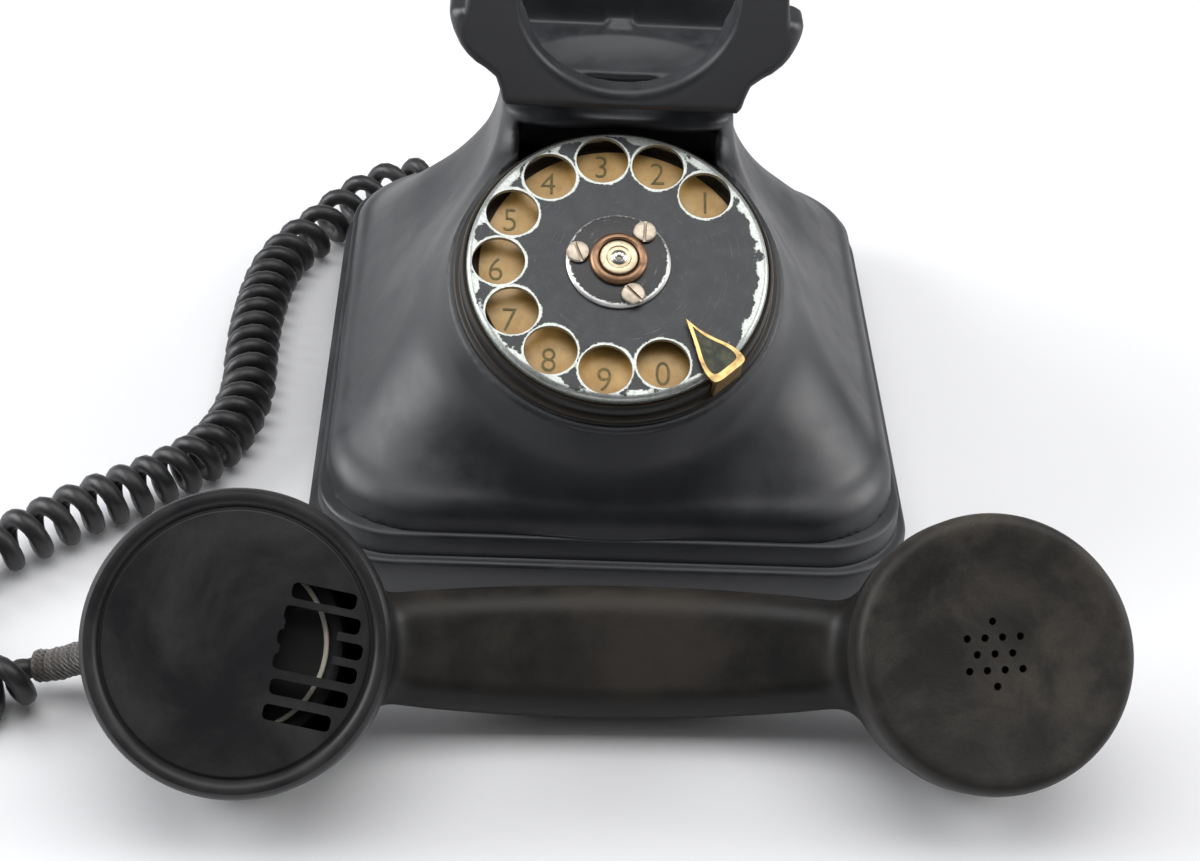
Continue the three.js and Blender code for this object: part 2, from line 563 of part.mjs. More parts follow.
// ---------------------------------------------------------------- handset
// Bowl of a cup: straight below its cap, then a quarter of an ellipse to the back
function bowlProfile(radius, top, inset) {
  const flat = { radius: radius * 0.41, depth: -20 };
  const points = [[radius - inset, top], [radius - inset, flat.depth]];
  const STEPS = 5;
  for (let i = 1; i <= STEPS; i += 1) {
    const angle = (Math.PI / 2) * (i / STEPS);
    points.push([
      flat.radius + (radius - inset - flat.radius) * Math.cos(angle),
      flat.depth - (24 - inset) * Math.sin(angle),
    ]);
  }
  return points;
}

function handsetShell() {
  const rings = HANDLE_STATIONS.map(([x, depth, halfWidth, halfThickness]) => {
    const outline = roundedRectangle(halfWidth, -halfThickness, halfThickness, 7, 4);
    return outline.map((p) => new THREE.Vector3(x, p.x, depth + p.y));
  });
  const cups = [[-CUP_X, MOUTH], [CUP_X, EAR]].map(([x, cup]) => {
    const top = -cup.capDepth - GAP;
    const outer = turned([[0, top], ...bowlProfile(cup.radius - 0.8, top, 0), [0, -44]], 24);
    const inner = turned([[0, top + 1], ...bowlProfile(cup.radius - 0.8, top + 1, 3), [0, -41]], 18);
    return { outer: outer.translate(x, 0, 0), inner: inner.translate(x, 0, 0) };
  });
  const whole = join(loft(rings), cups[0].outer, cups[1].outer);
  return cut(whole, cups[0].inner, cups[1].inner, sleeveBore());
}

// The hole that the cord's sleeve enters, in the handset's own frame
function sleeveBore() {
  const [end, next] = SLEEVE_ROUTE.map((p) => new THREE.Vector3(...p));
  const along = next.clone().sub(end).normalize();
  const turn = new THREE.Quaternion().setFromUnitVectors(new THREE.Vector3(0, 0, 1), along);
  const bore = cylinder(SLEEVE_RADIUS + GAP, -9, 14, 16).applyQuaternion(turn).translate(...end);
  handset.updateMatrix();
  return bore.applyMatrix4(handset.matrix.clone().invert());
}

// Caps screw over the cups: the sender's has a louvre at its inner side, two bars of it broken off.
const LOUVRE = { x: 17.8, y: -2.9, width: 18, bars: [-10.8, -5.4, 10.8], bar: 1.7, halfHeight: 16.5 };

function mouthpieceCap() {
  const { radius, capDepth, rim } = MOUTH;
  const shell = turned([
    [0, -1.2], [rim - 0.5, -1.2], [rim, -1.9], [rim + 0.6, -1.2], [rim + 1.6, -0.4], [radius - 2.4, -0.2],
    [radius - 0.6, -1.4], [radius, -3.4], [radius, -capDepth], [radius - 2.6, -capDepth],
    [radius - 2.6, -5], [0, -4.2],
  ], 40);
  const window = new THREE.Shape();
  window.absellipse(0, 0, LOUVRE.width / 2, LOUVRE.halfHeight, 0, 2 * Math.PI);
  const room = extruded(window, -8, 2, 8);
  const bars = LOUVRE.bars.map((y) => box(-10, 10, y - LOUVRE.bar / 2, y + LOUVRE.bar / 2, -9, 3));
  const opening = cut(room, ...bars).rotateZ(THREE.MathUtils.degToRad(-12)).translate(LOUVRE.x, LOUVRE.y, 0);
  return cut(shell, opening);
}

function earpieceCap() {
  const { radius, capDepth } = EAR;
  const shell = turned([
    [0, -2.8], [14, -2.5], [24, -1.5], [28.4, -0.3], [radius - 1.6, -0.5], [radius - 0.3, -2], [radius, -4],
    [radius, -capDepth], [radius - 2.6, -capDepth], [radius - 2.6, -6.4], [0, -6.4],
  ], 36);
  const drills = [];
  for (const [row, count] of [[-2, 1], [-1, 4], [0, 3], [1, 4], [2, 1]]) {
    for (let i = 0; i < count; i += 1) {
      const hole = cylinder(EAR.holeRadius, -8, 1, 6);
      drills.push(hole.translate((i - (count - 1) / 2) * EAR.holePitch, row * EAR.rowPitch, 0));
    }
  }
  return cut(shell, ...drills.map((hole) => hole.rotateZ(THREE.MathUtils.degToRad(4))));
}

function capsule(name, x, radius, top, height, material) {
  const profile = [[0, top], [radius - 4, top], [radius - 3, top + 0.8], [radius - 1, top + 0.8],
    [radius, top], [radius, top - height], [0, top - height]];
  add(name, turned(profile, 24).translate(x, 0, 0), material, handset);
}

function handsetPieces() {
  add('handset_shell', handsetShell(), HANDSET_BAKELITE, handset);
  add('mouthpiece_cap', mouthpieceCap().translate(-CUP_X, 0, 0), HANDSET_BAKELITE, handset);
  add('earpiece_cap', earpieceCap().translate(CUP_X, 0, 0), HANDSET_BAKELITE, handset);
  capsule('transmitter_capsule', -CUP_X, MOUTH.capsule, -7, 15, STEEL);
  capsule('receiver_capsule', CUP_X, EAR.capsule, -7.6, 13, STEEL);
}

// ---------------------------------------------------------------- cord
function cord() {
  add('cord_sleeve', cut(tube(SLEEVE_ROUTE, SLEEVE_RADIUS, 12, 12), box(-160, -139.5, -150, -110, -5, 40)), FABRIC);
  add('handset_cord_coil', cut(
    tube(COIL_ROUTE, COIL_RADIUS, 8, 38),
    box(-139.8, -120, -150, -110, -5, 40),
  ), RUBBER);
  add('handset_cord_lead', tube(LEAD_ROUTE, LEAD_RADIUS, 8, 10), RUBBER);
}

// ---------------------------------------------------------------- assembly
add('housing', housing(), BAKELITE);
base();
add('dial_case', dialCase(), ENAMEL, dial);
add('finger_wheel', fingerWheel(), ENAMEL, dial);
add('finger_stop', fingerStop(), BRASS, dial);
hub();
dialWorks();
hookSwitch();
ringer();
circuit();
rearGland('handset_cord_gland', REAR_GLAND.x);
rearGland('line_inlet_bush', -REAR_GLAND.x);
handsetPieces();
cord();

// The origin is the middle of the footprint of everything but the cord, on the surface it stands on.
const CORD_PIECES = ['handset_cord_coil', 'handset_cord_lead'];
model.updateMatrixWorld(true);
const footprint = new THREE.Box3();
model.traverse((piece) => {
  if (piece.isMesh && !CORD_PIECES.includes(piece.name)) footprint.expandByObject(piece, true);
});
const middle = footprint.getCenter(new THREE.Vector3());
model.position.set(-middle.x, -middle.y, -footprint.min.z);
const part = new THREE.Group();
part.add(model);

export default part;
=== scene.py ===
"""The looks of an old desk telephone: black housing, rotary dial, fork cradle, handset and coiled cord.

Shapes are written in millimetres from the middle of the housing's footprint, on the surface it stands on,
or in the leaning frames of the dial and the handset, and are brought to metres by the frame matrices.
"""

import math

import bpy
import numpy as np
from mathutils import Matrix, Vector


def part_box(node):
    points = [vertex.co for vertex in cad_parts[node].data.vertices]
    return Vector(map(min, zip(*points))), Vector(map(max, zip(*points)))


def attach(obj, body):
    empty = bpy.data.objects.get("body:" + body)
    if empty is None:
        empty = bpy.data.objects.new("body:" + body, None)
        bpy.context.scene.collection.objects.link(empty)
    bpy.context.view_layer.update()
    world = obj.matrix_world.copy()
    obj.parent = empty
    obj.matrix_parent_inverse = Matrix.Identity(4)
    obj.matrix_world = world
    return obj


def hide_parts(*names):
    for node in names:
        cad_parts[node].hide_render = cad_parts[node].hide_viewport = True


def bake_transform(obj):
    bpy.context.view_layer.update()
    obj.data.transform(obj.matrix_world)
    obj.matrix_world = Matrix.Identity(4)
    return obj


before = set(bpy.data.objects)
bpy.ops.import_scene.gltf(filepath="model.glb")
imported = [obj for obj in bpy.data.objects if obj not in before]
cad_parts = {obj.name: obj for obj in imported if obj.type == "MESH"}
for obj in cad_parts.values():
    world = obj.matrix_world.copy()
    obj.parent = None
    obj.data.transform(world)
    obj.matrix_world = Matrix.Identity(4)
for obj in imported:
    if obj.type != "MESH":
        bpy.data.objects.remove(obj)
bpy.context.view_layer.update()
scene = bpy.context.scene

# -------------------- driving dimensions, millimetres
LEAN = math.radians(27.6)
WHEEL_RADIUS = 38.0
HOLE_CIRCLE = 29.97
HOLE_RADIUS = 6.67
FIRST_HOLE = 42.9
HOLE_STEP = 27.7
DIAL_Y = -50.1
DIAL_Z = 81.6
HUB_SCREWS = (51, 171, 291)
HUB_SCREW_CIRCLE = 10.35
HUB_RADIUS = 12.35
CUP_X = 85.65
MOUTH_RADIUS = 34.75
EAR_RADIUS = 32.25
REAR = 88
GLAND_X = 46
GLAND_Z = 9.4
WIRE = 5.0
COIL_RADIUS = 5.3
NECK_X = -1.3
NECK_TOP = 100.5
NICHE_HALF_X = 25.5
NICHE_BACK = -6
NICHE_BOTTOM = 62
NICHE_TOP = 96.5
STEM_Y = 9.5
FORK_Y = 6
HORN_TOP = 146
SCOOP_RADIUS = 27.5
SADDLE = 113

# Height, half width, front, rear and corner radius of the housing above its plinth
BODY = [
    (19.0, 75.0, 84.2, 84.2, 25.5),
    (21.5, 74.7, 83.9, 83.8, 26.5),
    (25.5, 74.2, 83.4, 81.6, 28),
    (28.5, 72.6, 81.8, 79.2, 29),
    (31, 69.8, 79, 76, 29),
    (35, 66.6, 75.2, 71.2, 28),
    (41, 61.8, 69, 64.6, 26),
    (48, 55.6, 61.6, 57.8, 23),
    (55, 49, 53.4, 52, 20),
    (62, 43.4, 44.6, 46.4, 17),
    (70, 38.4, 35, 40, 14),
    (78, 34.6, 25.6, 33.4, 11),
    (86, 32.3, 17.4, 28, 9),
    (94, 30.9, 11, 25, 8),
    (99.7, 30.3, 10.8, 24.8, 7.6),
    (103, 30.2, 10.8, 24.8, 7.6),
]

# -------------------- frames
low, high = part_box("housing")
MIDDLE = Vector(((low[0] + high[0]) / 2, (low[1] + high[1]) / 2, 0))
HOME = Matrix.Translation(MIDDLE) @ Matrix.Diagonal((0.001, 0.001, 0.001, 1))
DIAL = HOME @ Matrix.Translation((NECK_X, DIAL_Y, DIAL_Z)) @ Matrix.Rotation(LEAN, 4, "X")
HANDSET = (
    HOME
    @ Matrix.Translation((-0.85, -152.35, 46.3))
    @ Matrix.Rotation(math.radians(1.2), 4, "Z")
    @ Matrix.Rotation(math.radians(45), 4, "X")
)
MOUTH = HANDSET @ Matrix.Translation((-CUP_X, 0, 0))
EAR = HANDSET @ Matrix.Translation((CUP_X, 0, 0))


def place(x, y, z):
    """A point given in millimetres in the housing's frame, in metres."""
    return HOME @ Vector((x, y, z))


# -------------------- camera, light and floor
def add_camera():
    """The picture's viewpoint: its place in millimetres, and how far it tips, turns and leans."""
    data = bpy.data.cameras.new("camera")
    data.lens = 66
    data.sensor_width = 36
    data.clip_start = 0.02
    data.clip_end = 20
    camera = bpy.data.objects.new("camera", data)
    scene.collection.objects.link(camera)
    pitch = math.radians(37.91)
    yaw = math.radians(3.33)
    roll = math.radians(3.99)
    turn = Matrix.Rotation(-yaw, 4, "Z") @ Matrix.Rotation(math.pi / 2 - pitch, 4, "X")
    turn = turn @ Matrix.Rotation(roll, 4, "Z")
    camera.matrix_world = Matrix.Translation(place(-29.7, -510.1, 386.9)) @ turn
    scene.camera = camera


def add_area(name, position, target, size, watts, colour=(1, 1, 1)):
    data = bpy.data.lights.new(name, "AREA")
    data.shape = "RECTANGLE"
    data.size, data.size_y = size
    data.energy = watts
    data.color = colour
    light = bpy.data.objects.new(name, data)
    scene.collection.objects.link(light)
    light.location = MIDDLE + Vector(position)
    aim = MIDDLE + Vector(target) - light.location
    light.rotation_euler = aim.to_track_quat("-Z", "Y").to_euler()


def add_studio():
    world = bpy.data.worlds.new("studio")
    scene.world = world
    world.use_nodes = True
    nodes, links = world.node_tree.nodes, world.node_tree.links
    where = nodes.new("ShaderNodeTexCoord")
    split = nodes.new("ShaderNodeSeparateXYZ")
    rise = nodes.new("ShaderNodeMapRange")
    for key, value in (("From Min", -0.7), ("From Max", 0.9), ("To Min", 0.05), ("To Max", 0.44)):
        rise.inputs[key].default_value = value
    lean_back = nodes.new("ShaderNodeMath")
    lean_back.operation = "ADD"
    links.new(where.outputs["Generated"], split.inputs[0])
    links.new(split.outputs["Y"], lean_back.inputs[0])
    links.new(split.outputs["Z"], lean_back.inputs[1])
    links.new(lean_back.outputs[0], rise.inputs["Value"])
    background = nodes["Background"]
    background.inputs["Color"].default_value = (0.97, 0.975, 1.0, 1)
    links.new(rise.outputs["Result"], background.inputs["Strength"])
    add_area("overhead", (0.0, -0.05, 1.3), (0, 0, 0.05), (1.4, 0.9), 10)
    add_area("left_window", (-1.25, 0.05, 0.6), (0, 0, 0.05), (0.9, 0.8), 16, (0.97, 0.98, 1))
    add_area("right_window", (1.25, 0.05, 0.65), (0, 0, 0.05), (0.8, 0.8), 11)
    scene.view_settings.view_transform = "Standard"
    scene.view_settings.look = "None"


def add_floor():
    """A pale sweep: flat under the telephone, curving up far behind it."""
    profile = [(-3.0, 0.0), (1.6, 0.0)]
    for step in range(1, 13):
        angle = math.radians(90 * step / 12)
        profile.append((1.6 + 0.9 * math.sin(angle), 0.9 - 0.9 * math.cos(angle)))
    profile.append((2.5, 3.0))
    verts = [(x, y, z) for y, z in profile for x in (-4, 4)]
    faces = [(2 * i, 2 * i + 1, 2 * i + 3, 2 * i + 2) for i in range(len(profile) - 1)]
    mesh = bpy.data.meshes.new("floor")
    mesh.from_pydata(verts, [], faces)
    for polygon in mesh.polygons:
        polygon.use_smooth = True
    floor = bpy.data.objects.new("floor", mesh)
    scene.collection.objects.link(floor)
    material = bpy.data.materials.new("paper_floor")
    material.use_nodes = True
    shader = material.node_tree.nodes["Principled BSDF"]
    shader.inputs["Base Color"].default_value = (0.86, 0.86, 0.87, 1)
    shader.inputs["Roughness"].default_value = 0.6
    mesh.materials.append(material)


# -------------------- mesh tools
def build(name, verts, faces, matrix, look, body, slot, sharp=40):
    """A smooth-shaded piece from local millimetres, riding on a body."""
    mesh = bpy.data.meshes.new(name)
    mesh.from_pydata([matrix @ Vector(v) for v in verts], [], faces)
    mesh.validate()
    obj = bpy.data.objects.new(name, mesh)
    scene.collection.objects.link(obj)
    finish_surface(obj, sharp)
    mesh.materials.append(MATERIALS[look])
    if body:
        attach(obj, body)
    return obj


def finish_surface(obj, sharp):
    obj.data.polygons.foreach_set("use_smooth", [True] * len(obj.data.polygons))
    obj.data.set_sharp_from_angle(angle=math.radians(sharp))
    obj.data.update()


def evaluated_mesh(obj):
    """The object's mesh as its modifiers or its curve make it."""
    bpy.context.view_layer.update()
    graph = bpy.context.evaluated_depsgraph_get()
    return bpy.data.meshes.new_from_object(obj.evaluated_get(graph))


def apply_modifiers(obj, sharp=40, finish=True):
    mesh = evaluated_mesh(obj)
    obj.modifiers.clear()
    obj.data = mesh
    if finish:
        finish_surface(obj, sharp)


def carve(obj, cutters, sharp=40, operation="DIFFERENCE"):
    """Cuts closed (verts, faces, matrix) shapes out of a piece, or joins them to it."""
    tools = []
    for verts, faces, matrix in cutters:
        mesh = bpy.data.meshes.new("tool")
        mesh.from_pydata([matrix @ Vector(v) for v in verts], [], faces)
        tool = bpy.data.objects.new("tool", mesh)
        scene.collection.objects.link(tool)
        modifier = obj.modifiers.new("carve", "BOOLEAN")
        modifier.operation = operation
        modifier.solver = "EXACT"
        modifier.object = tool
        tools.append(tool)
    apply_modifiers(obj, sharp)
    for tool in tools:
        bpy.data.objects.remove(tool)


def bevel(obj, width, segments=2, angle=35):
    """Rounds the piece's edges and keeps its flat faces looking flat."""
    modifier = obj.modifiers.new("bevel", "BEVEL")
    modifier.width = width * 0.001
    modifier.segments = segments
    modifier.limit_method = "ANGLE"
    modifier.angle_limit = math.radians(angle)
    modifier.use_clamp_overlap = True
    weigh = obj.modifiers.new("weigh", "WEIGHTED_NORMAL")
    weigh.weight = 90
    weigh.keep_sharp = True
    apply_modifiers(obj, finish=False)


def lathe(profile, segments=96, ring=False):
    """A closed turned shape about Z. Its profile of (radius, height) ends on the axis, or makes a ring."""
    verts, rows, faces = [], [], []
    for radius, height in profile:
        if radius == 0:
            rows.append([len(verts)] * segments)
            verts.append((0, 0, height))
            continue
        rows.append(list(range(len(verts), len(verts) + segments)))
        for i in range(segments):
            angle = 2 * math.pi * i / segments
            verts.append((radius * math.cos(angle), radius * math.sin(angle), height))
    pairs = list(zip(rows, rows[1:]))
    if ring:
        pairs.append((rows[-1], rows[0]))
    for below, above in pairs:
        for i in range(segments):
            j = (i + 1) % segments
            corners = (below[i], below[j], above[j], above[i])
            face = tuple(dict.fromkeys(corners))
            if len(face) > 2:
                faces.append(face)
    return verts, faces


def stand_in(node, shape, matrix, look, body, slot, sharp=35):
    """A piece that is seen instead of one CAD node."""
    piece = build(f"{node}_fine", *shape, matrix, look, body, slot, sharp)
    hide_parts(node)
    return piece


def turned_piece(node, profile, matrix, look, body, slot, sharp=35, segments=72, ring=False):
    return stand_in(node, lathe(profile, segments, ring), matrix, look, body, slot, sharp)


def rod(radius, bottom, top, sides=48):
    return lathe([(0, bottom), (radius, bottom), (radius, top), (0, top)], sides)


def block(x0, x1, y0, y1, z0, z1):
    verts = [(x, y, z) for z in (z0, z1) for y in (y0, y1) for x in (x0, x1)]
    faces = [(0, 2, 3, 1), (4, 5, 7, 6), (0, 1, 5, 4), (2, 6, 7, 3), (0, 4, 6, 2), (1, 3, 7, 5)]
    return verts, faces


def slab(outline, bottom, top):
    """A flat plate from its outline, counter-clockwise seen from above."""
    count = len(outline)
    verts = [(x, y, z) for z in (bottom, top) for x, y in outline]
    faces = [tuple(reversed(range(count))), tuple(range(count, 2 * count))]
    faces += [(i, (i + 1) % count, (i + 1) % count + count, i + count) for i in range(count)]
    return verts, faces


def polar(radius, degrees):
    angle = math.radians(degrees)
    return radius * math.cos(angle), radius * math.sin(angle)


def catmull(points, count):
    """Evenly spaced points on a smooth curve through the given ones."""
    p = np.array(points, float)
    ends = np.vstack([2 * p[0] - p[1], p, 2 * p[-1] - p[-2]])
    dense = []
    t = np.linspace(0, 1, 40, endpoint=False)[:, None]
    for a, b, c, d in zip(ends, ends[1:], ends[2:], ends[3:]):
        dense.append(
            0.5 * (2 * b + (c - a) * t + (2 * a - 5 * b + 4 * c - d) * t**2 + (3 * b - a - 3 * c + d) * t**3)
        )
    dense = np.vstack([*dense, p[-1:]])
    travelled = np.concatenate([[0], np.cumsum(np.linalg.norm(np.diff(dense, axis=0), axis=1))])
    wanted = np.linspace(0, travelled[-1], count)
    return np.stack([np.interp(wanted, travelled, dense[:, k]) for k in range(p.shape[1])], axis=1)


def directions(points):
    """Unit tangents and a twist-free normal at each point of a route."""
    tangents = np.gradient(points, axis=0)
    tangents /= np.linalg.norm(tangents, axis=1)[:, None]
    normals = [np.cross(tangents[0], (0, 0, 1.0))]
    for tangent in tangents:
        normal = normals[-1] - tangent * np.dot(normals[-1], tangent)
        normals.append(normal / np.linalg.norm(normal))
    return tangents, np.array(normals[1:])


def pipe(points, radii, sides=12):
    """A closed round tube along a route of points."""
    points = np.array(points, float)
    radii = np.broadcast_to(radii, (len(points),))
    tangents, normals = directions(points)
    sideways = np.cross(tangents, normals)
    angles = 2 * np.pi * np.arange(sides) / sides
    turned_up = np.cos(angles)[None, :, None] * normals[:, None]
    turned_aside = np.sin(angles)[None, :, None] * sideways[:, None]
    rings = points[:, None] + radii[:, None, None] * (turned_up + turned_aside)
    verts = [tuple(v) for v in rings.reshape(-1, 3)]
    faces = []
    for row in range(len(points) - 1):
        for i in range(sides):
            j = (i + 1) % sides
            a, b = row * sides, (row + 1) * sides
            faces.append((a + i, a + j, b + j, b + i))
    faces.append(tuple(reversed(range(sides))))
    faces.append(tuple(range((len(points) - 1) * sides, len(points) * sides)))
    return verts, faces


# -------------------- smooth solids from distance fields
def surface_of(field, low, high, step, relax=2):
    """A closed mesh of the places where field(x, y, z) is 0. The field is negative inside."""
    axes = [np.arange(a - 2 * step, b + 2.5 * step, step) for a, b in zip(low, high)]
    grid = np.meshgrid(*axes, indexing="ij")
    values = field(*grid)
    cells = tuple(n - 1 for n in values.shape)
    total = np.zeros(cells + (3,))
    count = np.zeros(cells)
    crossings = []
    for axis in range(3):
        before = tuple(slice(0, -1) if k == axis else slice(None) for k in range(3))
        after = tuple(slice(1, None) if k == axis else slice(None) for k in range(3))
        a, b = values[before], values[after]
        crossed = (a < 0) != (b < 0)
        along = np.where(crossed, a / np.where(crossed, a - b, 1), 0)
        spot = np.stack([grid[k][before] for k in range(3)], axis=-1)
        spot[..., axis] += along * step
        others = [k for k in range(3) if k != axis]
        for du in (0, 1):
            for dv in (0, 1):
                part = [slice(None)] * 3
                part[others[0]] = slice(du, du + cells[others[0]])
                part[others[1]] = slice(dv, dv + cells[others[1]])
                mask = crossed[tuple(part)]
                total[mask] += spot[tuple(part)][mask]
                count[mask] += 1
        crossings.append((axis, others, crossed, a < 0))
    index = np.full(cells, -1)
    used = count > 0
    index[used] = np.arange(used.sum())
    verts = total[used] / count[used][:, None]
    faces = []
    for axis, others, crossed, inside in crossings:
        where = np.argwhere(crossed)
        first, second = (where.copy() for _ in range(2))
        first[:, others[0]] -= 1
        second[:, others[1]] -= 1
        both = first.copy()
        both[:, others[1]] -= 1
        quads = np.stack([index[tuple(c.T)] for c in (both, second, where, first)], axis=1)
        forward = inside[tuple(where.T)] == (axis != 1)
        quads[~forward] = quads[~forward][:, ::-1]
        faces.append(quads)
    faces = np.vstack(faces)
    for _ in range(relax):
        verts = settle(field, relaxed(verts, faces, 0.5), step)
    return settle(field, verts, step), faces.tolist()


def relaxed(verts, faces, share):
    """Moves each point part of the way to the mean of its face's corners."""
    total = np.zeros_like(verts)
    count = np.zeros(len(verts))
    centres = verts[faces].mean(axis=1)
    for k in range(4):
        np.add.at(total, faces[:, k], centres)
        np.add.at(count, faces[:, k], 1)
    return verts + share * (total / count[:, None] - verts)


def settle(field, verts, step):
    """One Newton step of every point to the surface."""
    h = 0.05 * step
    x, y, z = verts.T
    value = field(x, y, z)
    slope = np.stack([
        field(x + h, y, z) - field(x - h, y, z),
        field(x, y + h, z) - field(x, y - h, z),
        field(x, y, z + h) - field(x, y, z - h),
    ], axis=1) / (2 * h)
    move = slope * (value / np.maximum((slope**2).sum(axis=1), 0.05))[:, None]
    reach = np.linalg.norm(move, axis=1)
    return verts - move * np.minimum(1, 0.6 * step / np.maximum(reach, 1e-9))[:, None]


def blend_join(a, b, width):
    """Union of two fields with a fillet of about that width."""
    h = np.maximum(width - np.abs(a - b), 0) / width
    return np.minimum(a, b) - h * h * width / 4


def blend_cut(a, tool, width):
    """The first field without the tool, the edge rounded."""
    return -blend_join(-a, tool, width)


def rectangle_field(u, v, half_u, half_v, radius):
    qu = np.abs(u) - (half_u - radius)
    qv = np.abs(v) - (half_v - radius)
    outside = np.hypot(np.maximum(qu, 0), np.maximum(qv, 0))
    return outside + np.minimum(np.maximum(qu, qv), 0) - radius


def table_of(rows):
    """Smooth functions through a table's columns, against its first column."""
    fine = catmull(rows, 400)
    return [lambda at, k=k: np.interp(at, fine[:, 0], fine[:, k]) for k in range(1, fine.shape[1])]


# -------------------- materials
class Paint:
    """A principled material and short ways to add nodes to it."""

    def __init__(self, name, **constants):
        self.material = bpy.data.materials.new(name)
        self.material.use_nodes = True
        self.tree = self.material.node_tree
        self.shader = self.tree.nodes["Principled BSDF"]
        self.place = self.node("ShaderNodeTexCoord").outputs["Object"]
        for key, value in constants.items():
            self.shader.inputs[key.replace("_", " ")].default_value = value

    def node(self, kind, **options):
        made = self.tree.nodes.new(kind)
        for key, value in options.items():
            setattr(made, key, value)
        return made

    def link(self, source, target):
        self.tree.links.new(source, target)

    def feed(self, node, values):
        for key, value in values.items():
            if isinstance(value, bpy.types.NodeSocket):
                self.link(value, node.inputs[key])
            else:
                node.inputs[key].default_value = value

    def math(self, operation, a, b=0.0, clamp=False):
        made = self.node("ShaderNodeMath", operation=operation, use_clamp=clamp)
        self.feed(made, {0: a, 1: b})
        return made.outputs[0]

    def noise(self, scale, detail=4.0, rough=0.55, at=None, distortion=0.0):
        made = self.node("ShaderNodeTexNoise")
        self.feed(made, {"Vector": at or self.place, "Scale": scale, "Detail": detail,
                         "Roughness": rough, "Distortion": distortion})
        return made.outputs["Fac"]

    def ramp(self, value, start, end, low=0.0, high=1.0):
        made = self.node("ShaderNodeMapRange", interpolation_type="SMOOTHSTEP")
        self.feed(made, {"Value": value, "From Min": start, "From Max": end, "To Min": low, "To Max": high})
        return made.outputs["Result"]

    def mix(self, factor, a, b):
        made = self.node("ShaderNodeMix", data_type="RGBA")
        a, b = [(*c, 1) if isinstance(c, tuple) and len(c) == 3 else c for c in (a, b)]
        self.feed(made, {0: factor, 6: a, 7: b})
        return made.outputs[2]

    def blend(self, factor, a, b):
        made = self.node("ShaderNodeMix", data_type="FLOAT")
        self.feed(made, {0: factor, 2: a, 3: b})
        return made.outputs[0]

    def upward(self):
        """1 where the surface faces up, 0 where it is upright or faces down."""
        geometry = self.node("ShaderNodeNewGeometry")
        split = self.node("ShaderNodeSeparateXYZ")
        self.link(geometry.outputs["Normal"], split.inputs[0])
        return split.outputs["Z"]

    def hollows(self, distance):
        """0 in corners and gaps, 1 in the open."""
        made = self.node("ShaderNodeAmbientOcclusion", samples=6)
        made.inputs["Distance"].default_value = distance
        return made.outputs["AO"]

    def bump(self, height, strength, distance):
        made = self.node("ShaderNodeBump")
        self.feed(made, {"Height": height, "Strength": strength, "Distance": distance})
        return made.outputs["Normal"]

    def set(self, **sockets):
        self.feed(self.shader, {key.replace("_", " "): value for key, value in sockets.items()})
        return self.material


def bakelite(name, dark, dust, dustiness, matte, blotch_scale=38.0, grain=0.10, shine=0.3):
    """Old black moulding: faint cloudy wear, fine dust on what faces up and grime in the corners."""
    p = Paint(name, Specular_IOR_Level=shine)
    cloudy = p.noise(blotch_scale, 6, 0.62, distortion=0.4)
    fine = p.noise(1500, 3, 0.7)
    specks = p.ramp(p.noise(2600, 2, 0.6), 0.66, 0.76)
    facing = p.ramp(p.upward(), 0.15, 0.95)
    settled = p.math("MULTIPLY", facing, p.ramp(cloudy, 0.38, 0.68))
    grime = p.math("MULTIPLY", p.math("SUBTRACT", 1.0, p.ramp(p.hollows(0.006), 0.45, 0.95)), 0.7)
    on_top = p.math("MULTIPLY", settled, dustiness)
    in_corners = p.math("MULTIPLY", grime, dustiness * 1.4)
    layer = p.math("MAXIMUM", on_top, in_corners)
    layer = p.math("MULTIPLY", layer, p.ramp(fine, 0.25, 0.7, 0.55, 1.0))
    layer = p.math("ADD", layer, p.math("MULTIPLY", specks, dustiness * 0.5), clamp=True)
    lighter = tuple(c * 1.7 + 0.003 for c in dark)
    ground = p.mix(p.ramp(cloudy, 0.3, 0.75), dark, lighter)
    roughness = p.ramp(cloudy, 0.25, 0.8, matte - 0.05, matte + 0.09)
    roughness = p.blend(layer, roughness, 0.8)
    height = p.math("ADD", p.math("MULTIPLY", fine, 0.5), p.math("MULTIPLY", p.noise(330, 4), 0.6))
    return p.set(Base_Color=p.mix(layer, ground, dust), Roughness=roughness,
                 Normal=p.bump(height, grain, 0.0004))


def metal(name, colour, stain, roughness, stained=0.5, scale=260.0, grain=0.12):
    """Tarnished metal with stains in its corners."""
    p = Paint(name, Metallic=1.0)
    cloudy = p.noise(scale, 5, 0.6)
    corners = p.math("SUBTRACT", 1.0, p.ramp(p.hollows(0.0025), 0.4, 0.95))
    mask = p.math("MULTIPLY", p.ramp(cloudy, 0.42, 0.7), stained)
    mask = p.math("MAXIMUM", mask, p.math("MULTIPLY", corners, min(1.0, stained * 1.5)))
    return p.set(Base_Color=p.mix(mask, colour, stain),
                 Roughness=p.blend(mask, roughness, min(1.0, roughness + 0.3)),
                 Normal=p.bump(p.noise(1800, 3), grain, 0.0003))


def rubber(name, colour, roughness, sheen=0.0):
    p = Paint(name, Sheen_Weight=sheen, Sheen_Roughness=0.5)
    cloudy = p.noise(120, 5, 0.6)
    dust = p.math("MULTIPLY", p.ramp(p.upward(), 0.3, 1.0), p.ramp(cloudy, 0.4, 0.7, 0.0, 0.28))
    return p.set(Base_Color=p.mix(dust, colour, (0.075, 0.07, 0.062)),
                 Roughness=p.ramp(cloudy, 0.3, 0.75, roughness - 0.06, roughness + 0.12),
                 Normal=p.bump(p.noise(900, 4), 0.12, 0.0004))


